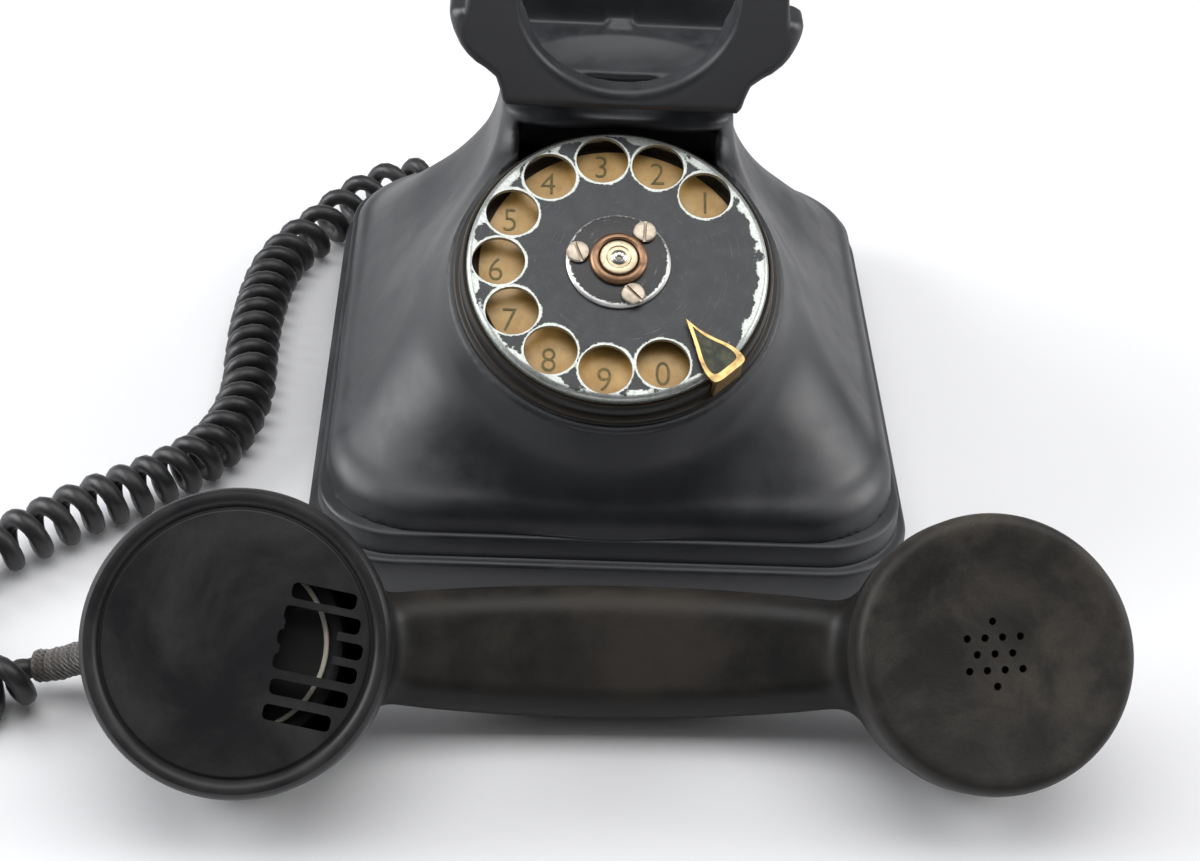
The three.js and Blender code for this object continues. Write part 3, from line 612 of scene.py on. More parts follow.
def plate_material():
    """Aged enamel of the number plate, darker in blotches, with painted shade that darkens it in its corners
    and towards its edge.
    """
    p = Paint("aged_number_plate_painted_shade", Coat_Weight=0.25, Coat_Roughness=0.25)
    cloudy = p.noise(150, 6, 0.65)
    fine = p.noise(900, 3, 0.6)
    # painted shade: an occlusion mask for the corners and the edge under the wheel and case
    corners = p.math("SUBTRACT", 1.0, p.ramp(p.hollows(0.006), 0.35, 0.9))
    colour = p.mix(p.ramp(cloudy, 0.3, 0.72), (0.60, 0.36, 0.10), (0.46, 0.25, 0.05))
    colour = p.mix(p.math("MULTIPLY", p.ramp(fine, 0.55, 0.75), 0.3), colour, (0.30, 0.16, 0.04))
    # painted shade: darkens the enamel towards deep brown in those corners
    colour = p.mix(p.math("MULTIPLY", corners, 0.6), colour, (0.12, 0.07, 0.02))
    return p.set(Base_Color=colour, Roughness=p.ramp(cloudy, 0.3, 0.7, 0.38, 0.55),
                 Normal=p.bump(fine, 0.08, 0.0003))


def sleeve_material():
    """Fuzzy dark braid: fine diagonal ribs from one distorted wave, with fuzz from its own noise."""
    p = Paint("braided_sleeve", Sheen_Weight=0.5, Sheen_Roughness=0.6)
    wave = p.node("ShaderNodeTexWave", wave_type="BANDS", bands_direction="DIAGONAL")
    p.feed(wave, {"Vector": p.place, "Scale": 420.0, "Distortion": 2.5, "Detail": 2.0, "Detail Scale": 2.0})
    threads = wave.outputs["Fac"]
    fuzz = p.noise(2400, 4, 0.7)
    height = p.math("ADD", threads, p.math("MULTIPLY", fuzz, 0.7))
    colour = p.mix(threads, (0.012, 0.009, 0.007), (0.06, 0.043, 0.03))
    return p.set(Base_Color=p.mix(p.ramp(fuzz, 0.5, 0.8), colour, (0.10, 0.078, 0.055)), Roughness=0.95,
                 Normal=p.bump(height, 0.7, 0.0006))


def dial_coordinates(p):
    """Height, radius, angle in degrees and place in the dial's own plane, in millimetres."""
    mapping = p.node("ShaderNodeMapping", vector_type="TEXTURE")
    centre = DIAL.to_translation()
    mapping.inputs["Location"].default_value = centre
    mapping.inputs["Rotation"].default_value = (LEAN, 0, 0)
    mapping.inputs["Scale"].default_value = (0.001, 0.001, 0.001)
    p.link(p.place, mapping.inputs["Vector"])
    split = p.node("ShaderNodeSeparateXYZ")
    p.link(mapping.outputs[0], split.inputs[0])
    x, y = split.outputs["X"], split.outputs["Y"]
    radius = p.math("SQRT", p.math("ADD", p.math("MULTIPLY", x, x), p.math("MULTIPLY", y, y)))
    angle = p.math("MULTIPLY", p.math("ARCTAN2", y, x), 180 / math.pi)
    return y, radius, angle, mapping.outputs[0]


def hole_distance(p, radius, angle):
    """Distance in millimetres from the nearest finger hole's edge."""
    start = FIRST_HOLE - HOLE_STEP / 2
    turned = p.math("MODULO", p.math("ADD", angle, 720 - start), 360.0)
    cell = p.math("MINIMUM", p.math("FLOOR", p.math("DIVIDE", turned, HOLE_STEP)), 9.0)
    middle = p.math("ADD", p.math("MULTIPLY", cell, HOLE_STEP), HOLE_STEP / 2)
    off = p.math("MULTIPLY", p.math("SUBTRACT", turned, middle), math.pi / 180)
    across = p.math("MULTIPLY", radius, p.math("SINE", off))
    outward = p.math("SUBTRACT", p.math("MULTIPLY", radius, p.math("COSINE", off)), HOLE_CIRCLE)
    squares = p.math("ADD", p.math("MULTIPLY", across, across), p.math("MULTIPLY", outward, outward))
    return p.math("SUBTRACT", p.math("SQRT", squares), HOLE_RADIUS)


def ragged(p, chips, amount):
    """A wandering of an edge, in millimetres."""
    return p.math("MULTIPLY", p.math("SUBTRACT", chips, 0.5), amount)


def scratches(p, radius, angle, plane):
    """Fine arcs round the centre, broken up along their length."""
    ring = p.node("ShaderNodeCombineXYZ")
    p.feed(ring, {"X": p.math("MULTIPLY", radius, 3.2), "Y": p.math("MULTIPLY", angle, 0.035)})
    lines = p.noise(1.0, 5, 0.72, at=ring.outputs[0])
    patches = p.noise(0.11, 4, 0.6, at=plane)
    return p.math("MULTIPLY", p.ramp(lines, 0.57, 0.70), p.ramp(patches, 0.42, 0.60))


def wheel_material():
    """Black enamel worn to bright metal on the rim, round each hole and in arcs."""
    p = Paint("worn_black_enamel")
    _, radius, angle, plane = dial_coordinates(p)
    chips = p.noise(1.1, 6, 0.72, at=plane)
    soft = p.noise(0.16, 3, 0.5, at=plane)
    rim_width = p.ramp(soft, 0.35, 0.62, 1.0, 3.4)
    rim = p.math("ADD", p.math("SUBTRACT", radius, WHEEL_RADIUS), rim_width)
    rim = p.math("ADD", rim, ragged(p, chips, 2.8))
    hole = p.math("SUBTRACT", p.ramp(soft, 0.3, 0.7, 0.45, 1.0), hole_distance(p, radius, angle))
    hole = p.math("ADD", hole, ragged(p, chips, 1.6))
    bare = p.math("MAXIMUM", p.ramp(rim, 0.0, 0.35), p.ramp(hole, 0.0, 0.2))
    arcs = scratches(p, radius, angle, plane)
    flecks = p.ramp(p.noise(0.9, 5, 0.75, at=plane), 0.69, 0.72)
    bare = p.math("MAXIMUM", bare, flecks)
    bare = p.math("MAXIMUM", bare, p.math("MULTIPLY", arcs, 0.45), clamp=True)
    enamel = p.mix(p.ramp(soft, 0.3, 0.7), (0.012, 0.013, 0.015), (0.022, 0.024, 0.028))
    dust = p.math("MULTIPLY", p.ramp(p.noise(0.35, 6, 0.7, at=plane), 0.45, 0.75), 0.16)
    enamel = p.mix(dust, enamel, (0.11, 0.115, 0.11))
    bright = p.mix(p.ramp(chips, 0.4, 0.65), (0.50, 0.51, 0.50), (0.32, 0.36, 0.31))
    height = p.math("SUBTRACT", p.math("MULTIPLY", chips, 0.25), p.math("MULTIPLY", bare, 0.8))
    return p.set(Base_Color=p.mix(bare, enamel, bright), Metallic=p.math("MULTIPLY", bare, 0.75),
                 Roughness=p.blend(bare, 0.42, 0.34), Normal=p.bump(height, 0.35, 0.0002))


def hub_material():
    """The hub plate: enamel worn bright along its edge."""
    p = Paint("worn_hub_enamel")
    height, radius, angle, plane = dial_coordinates(p)
    chips = p.noise(1.5, 6, 0.7, at=plane)
    edge = p.math("ADD", p.math("SUBTRACT", radius, HUB_RADIUS), ragged(p, chips, 2.6))
    side = p.ramp(height, -4.0, 9.0, 0.35, -0.25)
    bare = p.math("MAXIMUM", p.ramp(p.math("ADD", edge, side), 0.0, 0.3), p.ramp(chips, 0.68, 0.72))
    arcs = scratches(p, radius, angle, plane)
    bare = p.math("MAXIMUM", bare, p.math("MULTIPLY", arcs, 0.5), clamp=True)
    return p.set(Base_Color=p.mix(bare, (0.014, 0.014, 0.016), (0.6, 0.6, 0.58)),
                 Metallic=p.math("MULTIPLY", bare, 0.75), Roughness=p.blend(bare, 0.4, 0.33),
                 Normal=p.bump(p.math("SUBTRACT", 0.0, bare), 0.3, 0.00015))


def make_materials():
    return {
        "bakelite": bakelite(
            "black_bakelite", (0.0095, 0.0102, 0.0125), (0.075, 0.076, 0.08), 0.34, 0.42, shine=0.6
        ),
        "handset": bakelite(
            "brown_black_bakelite", (0.0065, 0.006, 0.0055), (0.07, 0.052, 0.034), 0.34, 0.44, 30
        ),
        "ear": bakelite(
            "rough_bakelite", (0.013, 0.0117, 0.0105), (0.085, 0.072, 0.056), 0.62, 0.52, 45, 0.35
        ),
        "mouth": bakelite("smooth_bakelite", (0.0095, 0.0095, 0.0105), (0.075, 0.07, 0.062), 0.26, 0.36),
        "case": bakelite("dial_case_enamel", (0.009, 0.0088, 0.0085), (0.09, 0.06, 0.03), 0.45, 0.35),
        "wheel": wheel_material(),
        "hub": hub_material(),
        "brass": metal("aged_brass", (0.58, 0.40, 0.17), (0.16, 0.10, 0.045), 0.34, 0.6),
        "pale_brass": metal("pale_brass", (0.60, 0.50, 0.35), (0.30, 0.21, 0.12), 0.36, 0.45),
        "nickel": metal("nickel_silver", (0.46, 0.40, 0.32), (0.22, 0.17, 0.12), 0.38, 0.55),
        "copper": metal("brown_copper", (0.34, 0.20, 0.12), (0.11, 0.065, 0.04), 0.42, 0.6),
        "steel": metal("dull_steel", (0.45, 0.46, 0.47), (0.20, 0.18, 0.16), 0.4, 0.5),
        "bright_steel": metal("bright_steel", (0.75, 0.75, 0.74), (0.4, 0.38, 0.35), 0.22, 0.3),
        "stop_fill": bakelite("stop_infill", (0.022, 0.028, 0.018), (0.16, 0.15, 0.09), 0.7, 0.45, 300, 0.4),
        "plate": plate_material(),
        "digits": bakelite("digit_paint", (0.115, 0.10, 0.036), (0.32, 0.22, 0.07), 0.75, 0.5, 400),
        "rubber": rubber("black_rubber", (0.0085, 0.0085, 0.0095), 0.42, 0.1),
        "foot": rubber("foot_rubber", (0.02, 0.02, 0.02), 0.7, 0.2),
        "sleeve": sleeve_material(),
        # painted highlight: pale colour for the glint on the transmitter capsule's rim
        "ring": rubber("ring_painted_highlight", (0.62, 0.58, 0.48), 0.5),
        # near-black: the terminal block's own colour, and painted shade on the capsules inside the cups
        "dark": bakelite("dark_moulding_and_painted_shade", (0.006, 0.006, 0.006), (0.03, 0.026, 0.02), 0.3, 0.6),
    }


# -------------------- housing
def rounded_outline(half_x, half_y, radius, steps=14):
    points = []
    for cx, cy, start in ((1, 1, 0), (-1, 1, 90), (-1, -1, 180), (1, -1, 270)):
        for i in range(steps + 1):
            x, y = polar(radius, start + 90 * i / steps)
            points.append((cx * (half_x - radius) + x, cy * (half_y - radius) + y))
    return points


def add_plinth():
    """The two steps at the foot of the housing, hollow inside."""
    levels = [
        (2.0, 78.3, 87.3), (2.25, 78.8, 87.8), (2.8, 79, 88), (11.9, 79, 88), (12.5, 78.8, 87.8),
        (12.9, 78.3, 87.3), (13.0, 77.6, 86.6), (13.0, 77.0, 86.0), (13.3, 76.6, 85.6), (19.0, 76.4, 85.4),
        (19.6, 76.2, 85.2), (19.95, 75.7, 84.7), (20.0, 75.2, 84.2), (20.0, 72.0, 81.0), (2.0, 75.4, 84.4),
    ]
    rings = [[(x, y, z) for x, y in rounded_outline(hx, hy, 23 - (79 - hx) * 0.5)] for z, hx, hy in levels]
    count = len(rings[0])
    verts = [v for ring in rings for v in ring]
    faces = []
    for row in range(len(rings)):
        below = row * count
        above = ((row + 1) % len(rings)) * count
        for i in range(count):
            j = (i + 1) % count
            faces.append((below + i, below + j, above + j, above + i))
    build("housing_plinth", verts, faces, HOME, "bakelite", "base", "bakelite", 38)


def dial_space(x, y, z):
    """Distance from the dial's axis and height above the wheel's plane."""
    behind, over = y - DIAL_Y, z - DIAL_Z
    across = behind * math.cos(LEAN) + over * math.sin(LEAN)
    above = -behind * math.sin(LEAN) + over * math.cos(LEAN)
    return np.hypot(x - NECK_X, across), above


def add_housing():
    half_x, front, rear, corner = table_of(BODY)

    def shell(x, y, z):
        f, r = front(z), rear(z)
        aside = x - NECK_X * smooth((z - 28) / 40)
        return rectangle_field(aside, y - (r - f) / 2, half_x(z), (f + r) / 2, corner(z)) * 0.8

    def boss(rho, above):
        side = (rho - (42.6 - (above + 8.5) * 0.36)) * 0.93
        return np.maximum(side, above + 8.5)

    def field(x, y, z):
        rho, above = dial_space(x, y, z)
        body = shell(x, y, z)
        solid = blend_join(body, boss(rho, above), 11)
        solid = blend_cut(solid, NECK_TOP - z, 2.4)
        solid = blend_cut(solid, np.maximum(rho - 42.2, -8.4 - above), 0.8)
        niche = np.maximum(np.abs(x - NECK_X) - NICHE_HALF_X, y - NICHE_BACK)
        niche = np.maximum(niche, np.maximum(NICHE_BOTTOM - z, z - NICHE_TOP))
        solid = blend_cut(solid, np.maximum(niche, -y - 24), 2.4)
        opening = np.maximum(np.abs(x - NECK_X) - 26.9, np.abs(y - STEM_Y) - 12.9)
        solid = blend_cut(solid, np.maximum(opening, 80 - z), 0.5)
        hollow = np.minimum(np.maximum(body + 2.9, z - 88), np.maximum(rho - 38.2, above + 12))
        hollow = np.minimum(hollow, np.maximum(rho - 37.8, -30 - above))
        solid = np.maximum(solid, -hollow)
        return np.maximum(solid, 19.4 - z)

    verts, faces = surface_of(field, (-77, -96, 18), (77, 86, 101.5), 1.15)
    body = build("housing_body", verts, faces, HOME, "bakelite", "base", "bakelite", 60)
    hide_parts("housing")


# -------------------- cradle fork
def smooth(value):
    value = np.clip(value, 0, 1)
    return value**2 * (3 - 2 * value)


def fork_top(x, y):
    """Height of the fork's upper surface: four horns, a round scoop in front, a low web behind."""
    across = np.abs(x)
    away = y - FORK_Y
    lip = 134.5 - 0.35 * (across - 39.5)
    horn = HORN_TOP - 3 * ((across - 34) / 6.5) ** 2
    scoop = 140 - np.sqrt(np.maximum(SCOOP_RADIUS**2 - across**2, 0))
    centre = np.where(away < 0, np.where(across < SCOOP_RADIUS, scoop, HORN_TOP), 121.0)
    edge_in = smooth((across - 26.6) / 1.8)
    edge_out = smooth((across - 38.8) / 1.6)
    crest = centre * (1 - edge_in) + horn * edge_in
    crest = crest * (1 - edge_out) + lip * edge_out
    wall = SADDLE + (HORN_TOP - SADDLE) * smooth((np.abs(away) - 9.8) / 9.5)
    height = np.minimum(wall, np.maximum(crest, SADDLE - 0.4))
    dish = SADDLE - 4.4 * (1 - (x / 25.7) ** 2 - ((y + 5) / 15.8) ** 2)
    at_wall = 20 * np.clip((-13 - y) / 3, 0, 1)
    rib = 1.6 * np.exp(-((across / 3.6) ** 6)) * smooth((y - 13) / 3) * (1 - smooth((y - 19) / 3))
    return np.minimum(height + rib, np.where(dish < SADDLE, dish + at_wall, 999.0))


# Distance from the fork's middle, and height of its underside there
UNDERSIDE = np.array([
    (29.4, 107), (30.5, 108.5), (31, 111), (32.2, 114.8), (35, 117.3), (37.3, 118.8), (39.5, 121),
    (41.3, 123.4), (43, 126.5), (45, 131),
])


def add_fork():
    def field(x, y, z):
        x = x - NECK_X
        reach = 40 + 5 * smooth((np.abs(y - FORK_Y) - 9) / 6)
        under = np.interp(np.abs(x), UNDERSIDE[:, 0], UNDERSIDE[:, 1])
        under = np.minimum(under, fork_top(x, y) - 1.9)
        plan = rectangle_field(x, y - FORK_Y, reach, 26, 5.5)
        top = (z - fork_top(x, y)) * 0.55
        ears = blend_cut(blend_cut(plan, -top, 2.6), z - under, 3.5)
        stem = rectangle_field(x, y - STEM_Y, 26.2, 12.2, 2.5)
        stem = np.maximum(stem, np.maximum(88 - z, z - 109))
        solid = blend_join(ears, stem, 2.0)
        socket = np.maximum(rectangle_field(x, y - STEM_Y, 22.2, 8.2, 1), z - 100)
        return np.maximum(solid, -socket)

    shape = surface_of(field, (-48, -21, 87), (48, 33, 146.5), 0.8, 3)
    stand_in("cradle_fork", shape, HOME, "bakelite", "cradle", "bakelite", 70)


# -------------------- dial
def moved(shape, x, y):
    verts, faces = shape
    return verts, faces, DIAL @ Matrix.Translation((x, y, 0))


def hub_cutters(bottom, top):
    """Cutters for the screws' and the spindle's holes."""
    screws = [moved(rod(1.6, bottom, top, 24), *polar(HUB_SCREW_CIRCLE, a)) for a in HUB_SCREWS]
    return [*screws, moved(rod(5.2, bottom, top, 48), 0, 0)]


def add_wheel():
    profile = [
        (0, -1.2), (37, -1.2), (37, -2.8), (WHEEL_RADIUS, -2.8), (WHEEL_RADIUS, -1.3), (37.8, -0.7),
        (37.3, -0.2), (36.6, 0), (0, 0),
    ]
    wheel = turned_piece("finger_wheel", profile, DIAL, "wheel", "dial", "enamel", 30, 160)
    angles = [FIRST_HOLE + HOLE_STEP * i for i in range(10)]
    holes = [moved(rod(HOLE_RADIUS, -4, 2, 64), *polar(HOLE_CIRCLE, a)) for a in angles]
    carve(wheel, [*holes, *hub_cutters(-4, 2)], 30)
    bevel(wheel, 0.22, 2, 50)


def add_hub():
    profile = [(0, 0.3), (13.2, 0.3), (13.15, 0.75), (12.8, 1.15), (12.3, 1.3), (0, 1.3)]
    plate = turned_piece("hub_plate", profile, DIAL, "hub", "dial", "enamel", 30, 96)
    carve(plate, hub_cutters(-1, 3), 30)
    head = [
        (0, -2.2), (1.2, -2.2), (1.2, 1.62), (2.9, 1.62), (2.95, 2.0), (2.7, 2.4), (1.8, 2.62), (0, 2.68),
    ]
    for number, angle in enumerate(HUB_SCREWS, 1):
        spot = DIAL @ Matrix.Translation((*polar(HUB_SCREW_CIRCLE, angle), 0))
        screw = turned_piece(f"hub_screw_{number}", head, spot, "nickel", "dial", "brass", 35, 48)
        turn = spot @ Matrix.Rotation(math.radians(angle * 1.7), 4, "Z")
        carve(screw, [(*block(-4, 4, -0.42, 0.42, 2.05, 4), turn)], 35)
    collar = [
        (5.2, 1.6), (7.0, 1.6), (7.25, 1.8), (7.25, 2.3), (6.9, 2.8), (6.3, 3.1), (5.7, 3.1), (5.2, 2.7),
    ]
    turned_piece("collar_nut", collar, DIAL, "copper", "dial", "copper", ring=True)
    end = [
        (0, -18), (4.9, -18), (4.9, 2.5), (4.6, 2.95), (4.0, 3.15), (3.2, 3.1), (2.9, 2.8), (1.5, 2.7),
        (0, 2.7),
    ]
    turned_piece("dial_spindle", end, DIAL, "pale_brass", "dial", "brass")
    tip = [
        (0, 2.75), (1.9, 2.75), (2.0, 3.0), (1.7, 3.3), (1.25, 3.4), (1.2, 4.0), (0.9, 4.5), (0.4, 4.75),
        (0, 4.8),
    ]
    turned_piece("centre_pin", tip, DIAL, "bright_steel", "dial", "steel", 35, 40)


def add_case():
    profile = [
        (0, -24), (36.8, -24), (37.2, -23.6), (37.2, -8.2), (41.0, -8.2), (41.4, -7.9), (41.3, -7.3),
        (40.9, -7.0), (40.0, -6.95), (39.7, -6.7), (39.55, -5.8), (39.5, -3.0), (39.3, -2.6), (38.9, -2.4),
        (38.6, -2.6), (38.5, -3.5), (37.2, -3.5), (37.0, -5.8), (34.6, -5.8), (34.6, -22.6), (0, -22.6),
    ]
    turned_piece("dial_case", profile, DIAL, "case", "base", "enamel", 32, 144)
    plate = [(6.2, -5.5), (34.9, -5.5), (35.0, -5.4), (35.0, -4.7), (34.8, -4.5), (6.2, -4.5)]
    turned_piece("number_plate", plate, DIAL, "plate", "base", "amber", 30, 128, ring=True)


DIGIT_SIZE = 9.4
DIGIT_CIRCLE = 30.6
DIGIT_Z = -4.42
DIGIT_NARROWING = 0.9


def add_digits():
    """Upright digits on the number plate, one in each finger hole."""
    for i, digit in enumerate("1234567890"):
        curve = bpy.data.curves.new(f"digit_{digit}", "FONT")
        curve.body = digit
        curve.size = DIGIT_SIZE
        curve.extrude = 0.05
        curve.resolution_u = 6
        curve.offset = -0.12
        curve.align_x = "CENTER"
        curve.align_y = "CENTER"
        text = bpy.data.objects.new(f"digit_{digit}_text", curve)
        scene.collection.objects.link(text)
        mesh = evaluated_mesh(text)
        bpy.data.objects.remove(text)
        x, y = polar(DIGIT_CIRCLE, FIRST_HOLE + HOLE_STEP * i)
        spots = np.array([v.co for v in mesh.vertices])
        middle = (spots.max(0) + spots.min(0)) / 2
        at = DIAL @ Matrix.Translation((x - middle[0], y - middle[1], DIGIT_Z))
        mesh.transform(at @ Matrix.Diagonal((DIGIT_NARROWING, 1, 1, 1)))
        piece = bpy.data.objects.new(f"digit_{digit}", mesh)
        scene.collection.objects.link(piece)
        mesh.materials.clear()
        mesh.materials.append(MATERIALS["digits"])
        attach(piece, "base")


STOP_OUTLINE = [
    (16.8, -16.0), (20.2, -18.9), (23.8, -21.0), (27.4, -22.7), (30.0, -24.6), (31.2, -27.0),
    (28.2, -30.2), (24.3, -33.2), (21.9, -31.4), (20.2, -27.6), (18.9, -22.8), (17.6, -18.6),
]


def add_stop():
    outline = catmull([*STOP_OUTLINE, STOP_OUTLINE[0]], 61)[:-1]
    if signed_area(outline) < 0:
        outline = outline[::-1]
    shape = slab([tuple(p) for p in outline], 1.0, 1.9)
    stop = stand_in("finger_stop", shape, DIAL, "brass", "base", "brass")
    turn = DIAL @ Matrix.Rotation(math.radians(-47.3), 4, "Z")
    carve(stop, [(*block(39.6, 40.8, -4.6, 4.6, -6.7, 1.85), turn)], 35, "UNION")
    centre = outline.mean(axis=0)
    inner = [tuple(centre + (p - centre) * 0.74) for p in outline]
    carve(stop, [(*slab(inner, 1.6, 3), DIAL)], 35)
    bevel(stop, 0.22, 2, 40)
    inlay = [tuple(centre + (p - centre) * 0.73) for p in outline]
    build("finger_stop_infill", *slab(inlay, 1.55, 1.78), DIAL, "stop_fill", "base", "enamel", 35)


def signed_area(points):
    x, y = np.array(points).T
    return 0.5 * float(np.sum(x * np.roll(y, -1) - y * np.roll(x, -1)))


# -------------------- handset
# Place along the handle, height of its middle, half width and half thickness
HANDLE = [
    (-90, -26, 11.2, 9.8), (-72, -31, 11.4, 9.5), (-62, -34, 12.2, 9.4), (-52, -37, 13.2, 9.4),
    (-40, -39.8, 14.4, 9.7), (-20, -42.3, 15.6, 10), (0, -43, 16, 10), (20, -42.3, 15.6, 10),
    (40, -39.8, 14.4, 9.7), (52, -37, 13.2, 9.4), (62, -34, 12.2, 9.4), (72, -31, 11.4, 9.5),
    (90, -26, 11.2, 9.8),
]


def cup_field(x, y, z, centre, radius, cap):
    """A round cup, straight at the sides above its bowl and cut off flat under its cap."""
    rho = np.hypot(x - centre, y)
    side = rho - (radius - 0.8)
    flat = radius * 0.41
    out = np.maximum(rho - flat, 0) / (radius - 0.8 - flat)
    down = np.maximum(-20 - z, 0) / 24
    bowl = (np.sqrt(out**2 + down**2) - 1) * 20
    solid = np.where(z > -20, side, bowl)
    return np.maximum(solid, z + cap + 0.3)


def add_handset():
    depth, half_width, half_thick = table_of(HANDLE)

    def field(x, y, z):
        handle = rectangle_field(y, z - depth(x), half_width(x), half_thick(x), 7.5)
        handle = np.maximum(handle, np.abs(x) - 78)
        mouth = cup_field(x, y, z, -CUP_X, MOUTH_RADIUS, 15)
        ear = cup_field(x, y, z, CUP_X, EAR_RADIUS, 13)
        solid = blend_join(handle, np.minimum(mouth, ear), 7)
        hollow = np.minimum(
            cup_field(x, y, z, -CUP_X, MOUTH_RADIUS - 3, -5), cup_field(x, y, z, CUP_X, EAR_RADIUS - 3, -5)
        )
        solid = np.maximum(solid, -np.maximum(hollow, -40.5 - z))
        mouth_cap = np.hypot(x + CUP_X, y) - MOUTH_RADIUS - 0.4
        ear_cap = np.hypot(x - CUP_X, y) - EAR_RADIUS - 0.4
        caps = np.minimum(mouth_cap, ear_cap)
        return np.maximum(solid, -np.maximum(caps, -13.3 - z - 2 * (x < 0)))

    shape = surface_of(field, (-122, -36, -54), (120, 36, -12), 1.0)
    stand_in("handset_shell", shape, HANDSET, "handset", "handset", "handset_bakelite", 60)


LOUVRE_TURN = -11
# Middle and length of each louvre slot on the face
SLOTS = [
    (19.3, 10.6, 14.7), (19.0, 5.3, 17.2), (18.6, -0.2, 19.3), (17.6, -5.5, 19), (16.4, -11, 17.6),
    (13.9, -16.4, 15.3),
]


def add_mouthpiece():
    profile = [
        (0, -4.2), (32.15, -5), (32.15, -15), (34.4, -15), (MOUTH_RADIUS, -14.4), (MOUTH_RADIUS, -3.6),
        (34.6, -2.2), (34.1, -1.1), (33.4, -0.4), (32.5, -0.2), (31.6, -0.45), (30.9, -1.0), (30.6, -1.6),
        (30.3, -2.0), (29.9, -1.9), (29.6, -1.4), (29.2, -1.2), (0, -1.2),
    ]
    cap = turned_piece("mouthpiece_cap", profile, MOUTH, "mouth", "handset", "handset_bakelite", 32, 144)
    slant = Matrix.Rotation(math.radians(LOUVRE_TURN), 4, "Z")
    cutters = []
    for x, y, length in SLOTS:
        verts, faces = slab(rounded_outline(length / 2, 1.8, 1.2, 5), -8, 2)
        cutters.append((verts, faces, MOUTH @ Matrix.Translation((x, y, 0)) @ slant))
    broken_bars = MOUTH @ Matrix.Translation((18.6, -0.2, 0)) @ slant
    cutters.append((*block(-8.6, 3.4, -6.6, 6.4, -8, 2), broken_bars))
    carve(cap, cutters, 32)
    bevel(cap, 0.3, 2, 50)


def add_earpiece():
    profile = [
        (0, -6.4), (29.65, -6.4), (29.65, -13), (31.9, -13), (EAR_RADIUS, -12.5), (EAR_RADIUS, -4),
        (31.95, -2.3), (31.3, -1.2), (30.4, -0.5), (29.2, -0.35), (27.6, -0.6), (25, -1.2), (21, -1.85),
        (15, -2.4), (8, -2.72), (0, -2.8),
    ]
    cap = turned_piece("earpiece_cap", profile, EAR, "ear", "handset", "handset_bakelite", 32, 144)
    turn = EAR @ Matrix.Rotation(math.radians(4), 4, "Z")
    drills = []
    for row, count in ((-2, 1), (-1, 4), (0, 3), (1, 4), (2, 1)):
        for i in range(count):
            spot = ((i - (count - 1) / 2) * 4.1, row * 3.7, 0)
            drills.append((*rod(0.9, -8, 1, 20), turn @ Matrix.Translation(spot)))
    carve(cap, drills, 32)
    bevel(cap, 0.15, 1, 50)


def add_capsules():
    for name, at, radius, top, height in (
        ("transmitter_capsule", MOUTH, 24, -7.0, 15), ("receiver_capsule", EAR, 23, -7.6, 13),
    ):
        profile = [
            (0, top - height), (radius - 0.5, top - height), (radius, top - height + 0.5), (radius, top),
            (radius - 0.6, top + 0.7), (radius - 1.6, top + 0.8), (radius - 2.6, top + 0.5),
            (radius - 3.4, top - 0.2), (radius * 0.5, top - 0.6), (0, top - 0.4),
        ]
        # painted shade: the steel capsules take the near-black dark material so the cups look dark inside
        turned_piece(name, profile, at, "dark", "handset", "steel", 35, 96)
    # painted highlight: a pale ring stands in for the glint on the transmitter capsule's rim
    ring = [(19.2, -7.4), (20.3, -7.4), (20.3, -6.9), (20.1, -6.7), (19.4, -6.7), (19.2, -6.9)]
    build("transmitter_ring", *lathe(ring, 96, ring=True), MOUTH, "ring", "handset", "steel", 35)


# -------------------- cord
LEAD_ROUTE = [(-46, 96.2, 9.4), (-46, 100.4, 9), (-48, 104, 8.4), (-52, 106, 8.2)]
COIL_ROUTE = [
    (-58.2, 105.4, 8.2), (-66.5, 101.2, 8.2), (-74.5, 93.6, 8.2), (-81.2, 84.4, 8.2), (-87.6, 73, 8.2),
    (-94.2, 62.2, 8.2), (-98.4, 52, 8.2), (-100.8, 39, 8.2), (-102, 21, 8.2), (-101.7, 5, 8.2),
    (-101, -10.5, 8.2), (-102.5, -23.8, 8.2), (-106, -35, 8.2), (-111.2, -43.4, 8.2), (-117.4, -50, 8.2),
    (-124.6, -55.7, 8.2), (-137.4, -64.9, 8.2), (-148.8, -75.1, 8.2), (-160, -84.5, 8.2), (-170.5, -95, 8.2),
    (-177, -108, 8.2), (-176, -121, 8.2), (-167, -129.8, 8.2), (-156, -133.2, 8.2), (-148.5, -132.8, 8.2),
    (-144, -129.6, 8.2),
]
TAIL_ROUTE = [(-141.4, -125.6, 7.9), (-138.2, -123.9, 7.7)]
SLEEVE_ROUTE = [
    (-114.6, -131.5, 22.4), (-121, -128, 17.4), (-128, -125.2, 12.2), (-135, -124.3, 8.6),
    (-139.5, -123.9, 7.7),
]


def coiled_wire():
    """Centre line of the wire: straight from the gland, wound along its route, straight into the sleeve."""
    axis = catmull([*LEAD_ROUTE, *COIL_ROUTE, *TAIL_ROUTE], 1500)
    travelled = np.concatenate([[0], np.cumsum(np.linalg.norm(np.diff(axis, axis=0), axis=1))])
    length = travelled[-1]
    start = 13.0
    wound = smooth((travelled - start) / 9) * smooth((length - 3 - travelled) / 6)
    loose_start = 1 - smooth((travelled - start - 45) / 40)
    loose_left = np.exp(-(((travelled - 250) / 34) ** 2))
    pitch = 6.9 + 4.0 * loose_start + 1.4 * loose_left
    phase = np.concatenate([[0], np.cumsum(2 * np.pi * np.diff(travelled) / pitch[1:])])
    turns = phase[-1] / (2 * np.pi)
    fine = np.linspace(0, phase[-1], int(turns * 16))
    spots = np.stack([np.interp(fine, phase, axis[:, k]) for k in range(3)], axis=1)
    reach = COIL_RADIUS * np.interp(fine, phase, wound)
    tangents, normals = directions(spots)
    sideways = np.cross(tangents, normals)
    circle = np.cos(fine)[:, None] * normals + np.sin(fine)[:, None] * sideways
    return spots + reach[:, None] * circle


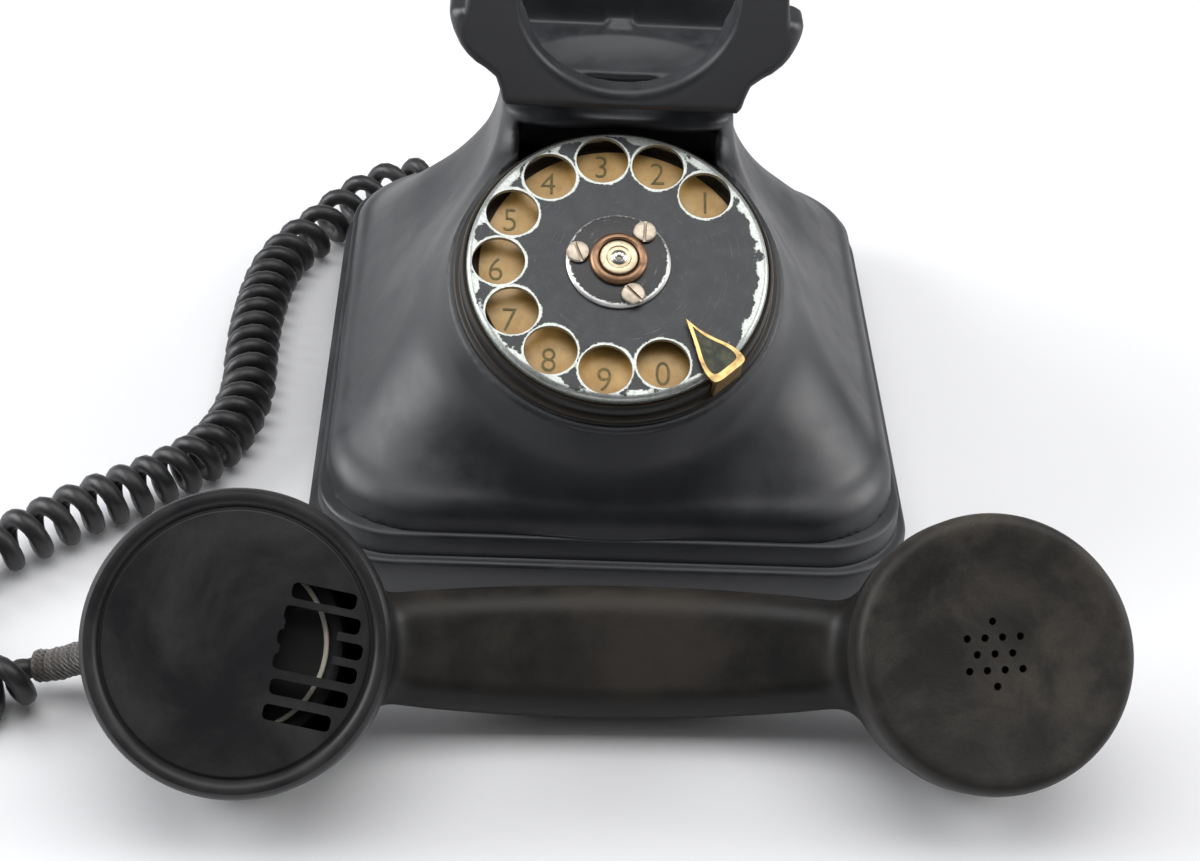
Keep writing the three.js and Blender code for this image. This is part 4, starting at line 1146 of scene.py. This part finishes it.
def add_cord():
    points = coiled_wire()
    verts, faces = pipe(points, WIRE / 2, 10)
    wire = build("handset_cord", verts, faces, HOME, "rubber", None, "rubber", 60)
    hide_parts("handset_cord_coil", "handset_cord_lead")
    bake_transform(wire)


def add_sleeve():
    points = catmull(SLEEVE_ROUTE, 60)
    ripple = 3.9 + 0.16 * np.sin(np.arange(60) * 1.9) + 0.1 * np.sin(np.arange(60) * 0.7)
    stand_in("cord_sleeve", pipe(points, ripple, 24), HOME, "sleeve", "handset", "fabric", 60)


def add_glands():
    for name, x in (("handset_cord_gland", -GLAND_X), ("line_inlet_bush", GLAND_X)):
        profile = [
            (2.7, -9.5), (5.0, -9.5), (5.0, -6.6), (3.8, -6.6), (3.8, 0.3), (4.4, 0.35), (4.7, 0.7),
            (4.6, 1.4), (4.2, 2.4), (3.7, 8.2), (3.5, 8.9), (3.1, 9.0), (2.7, 8.8),
        ]
        at = HOME @ Matrix.Translation((x, REAR, GLAND_Z)) @ Matrix.Rotation(-math.pi / 2, 4, "X")
        turned_piece(name, profile, at, "foot", "base", "rubber", 35, 48, ring=True)


# -------------------- what stays as the frame has it
NODE_LOOKS = {
    "steel": "base_plate base_screw_left base_screw_right mechanism_plate return_spring hook_lever "
             "hook_pivot_pin hook_bracket gong_post_left gong_post_right ringer_yoke clapper clapper_pivot "
             "capacitor",
    "brass": "dial_gear governor cradle_plunger gong_left gong_right",
    "copper": "pulse_contacts hook_contacts ringer_coil_left ringer_coil_right induction_coil",
    "foot": "rubber_foot_1 rubber_foot_2 rubber_foot_3 rubber_foot_4",
    "dark": "terminal_block",
}


def paint_nodes():
    for look, names in NODE_LOOKS.items():
        for name in names.split():
            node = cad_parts[name]
            for slot in node.material_slots:
                slot.material = MATERIALS[look]


add_camera()
add_studio()
add_floor()
MATERIALS = make_materials()
add_cord()
add_sleeve()
add_plinth()
add_housing()
add_fork()
add_case()
add_digits()
add_wheel()
add_hub()
add_stop()
add_handset()
add_mouthpiece()
add_earpiece()
add_capsules()
add_glands()
paint_nodes()
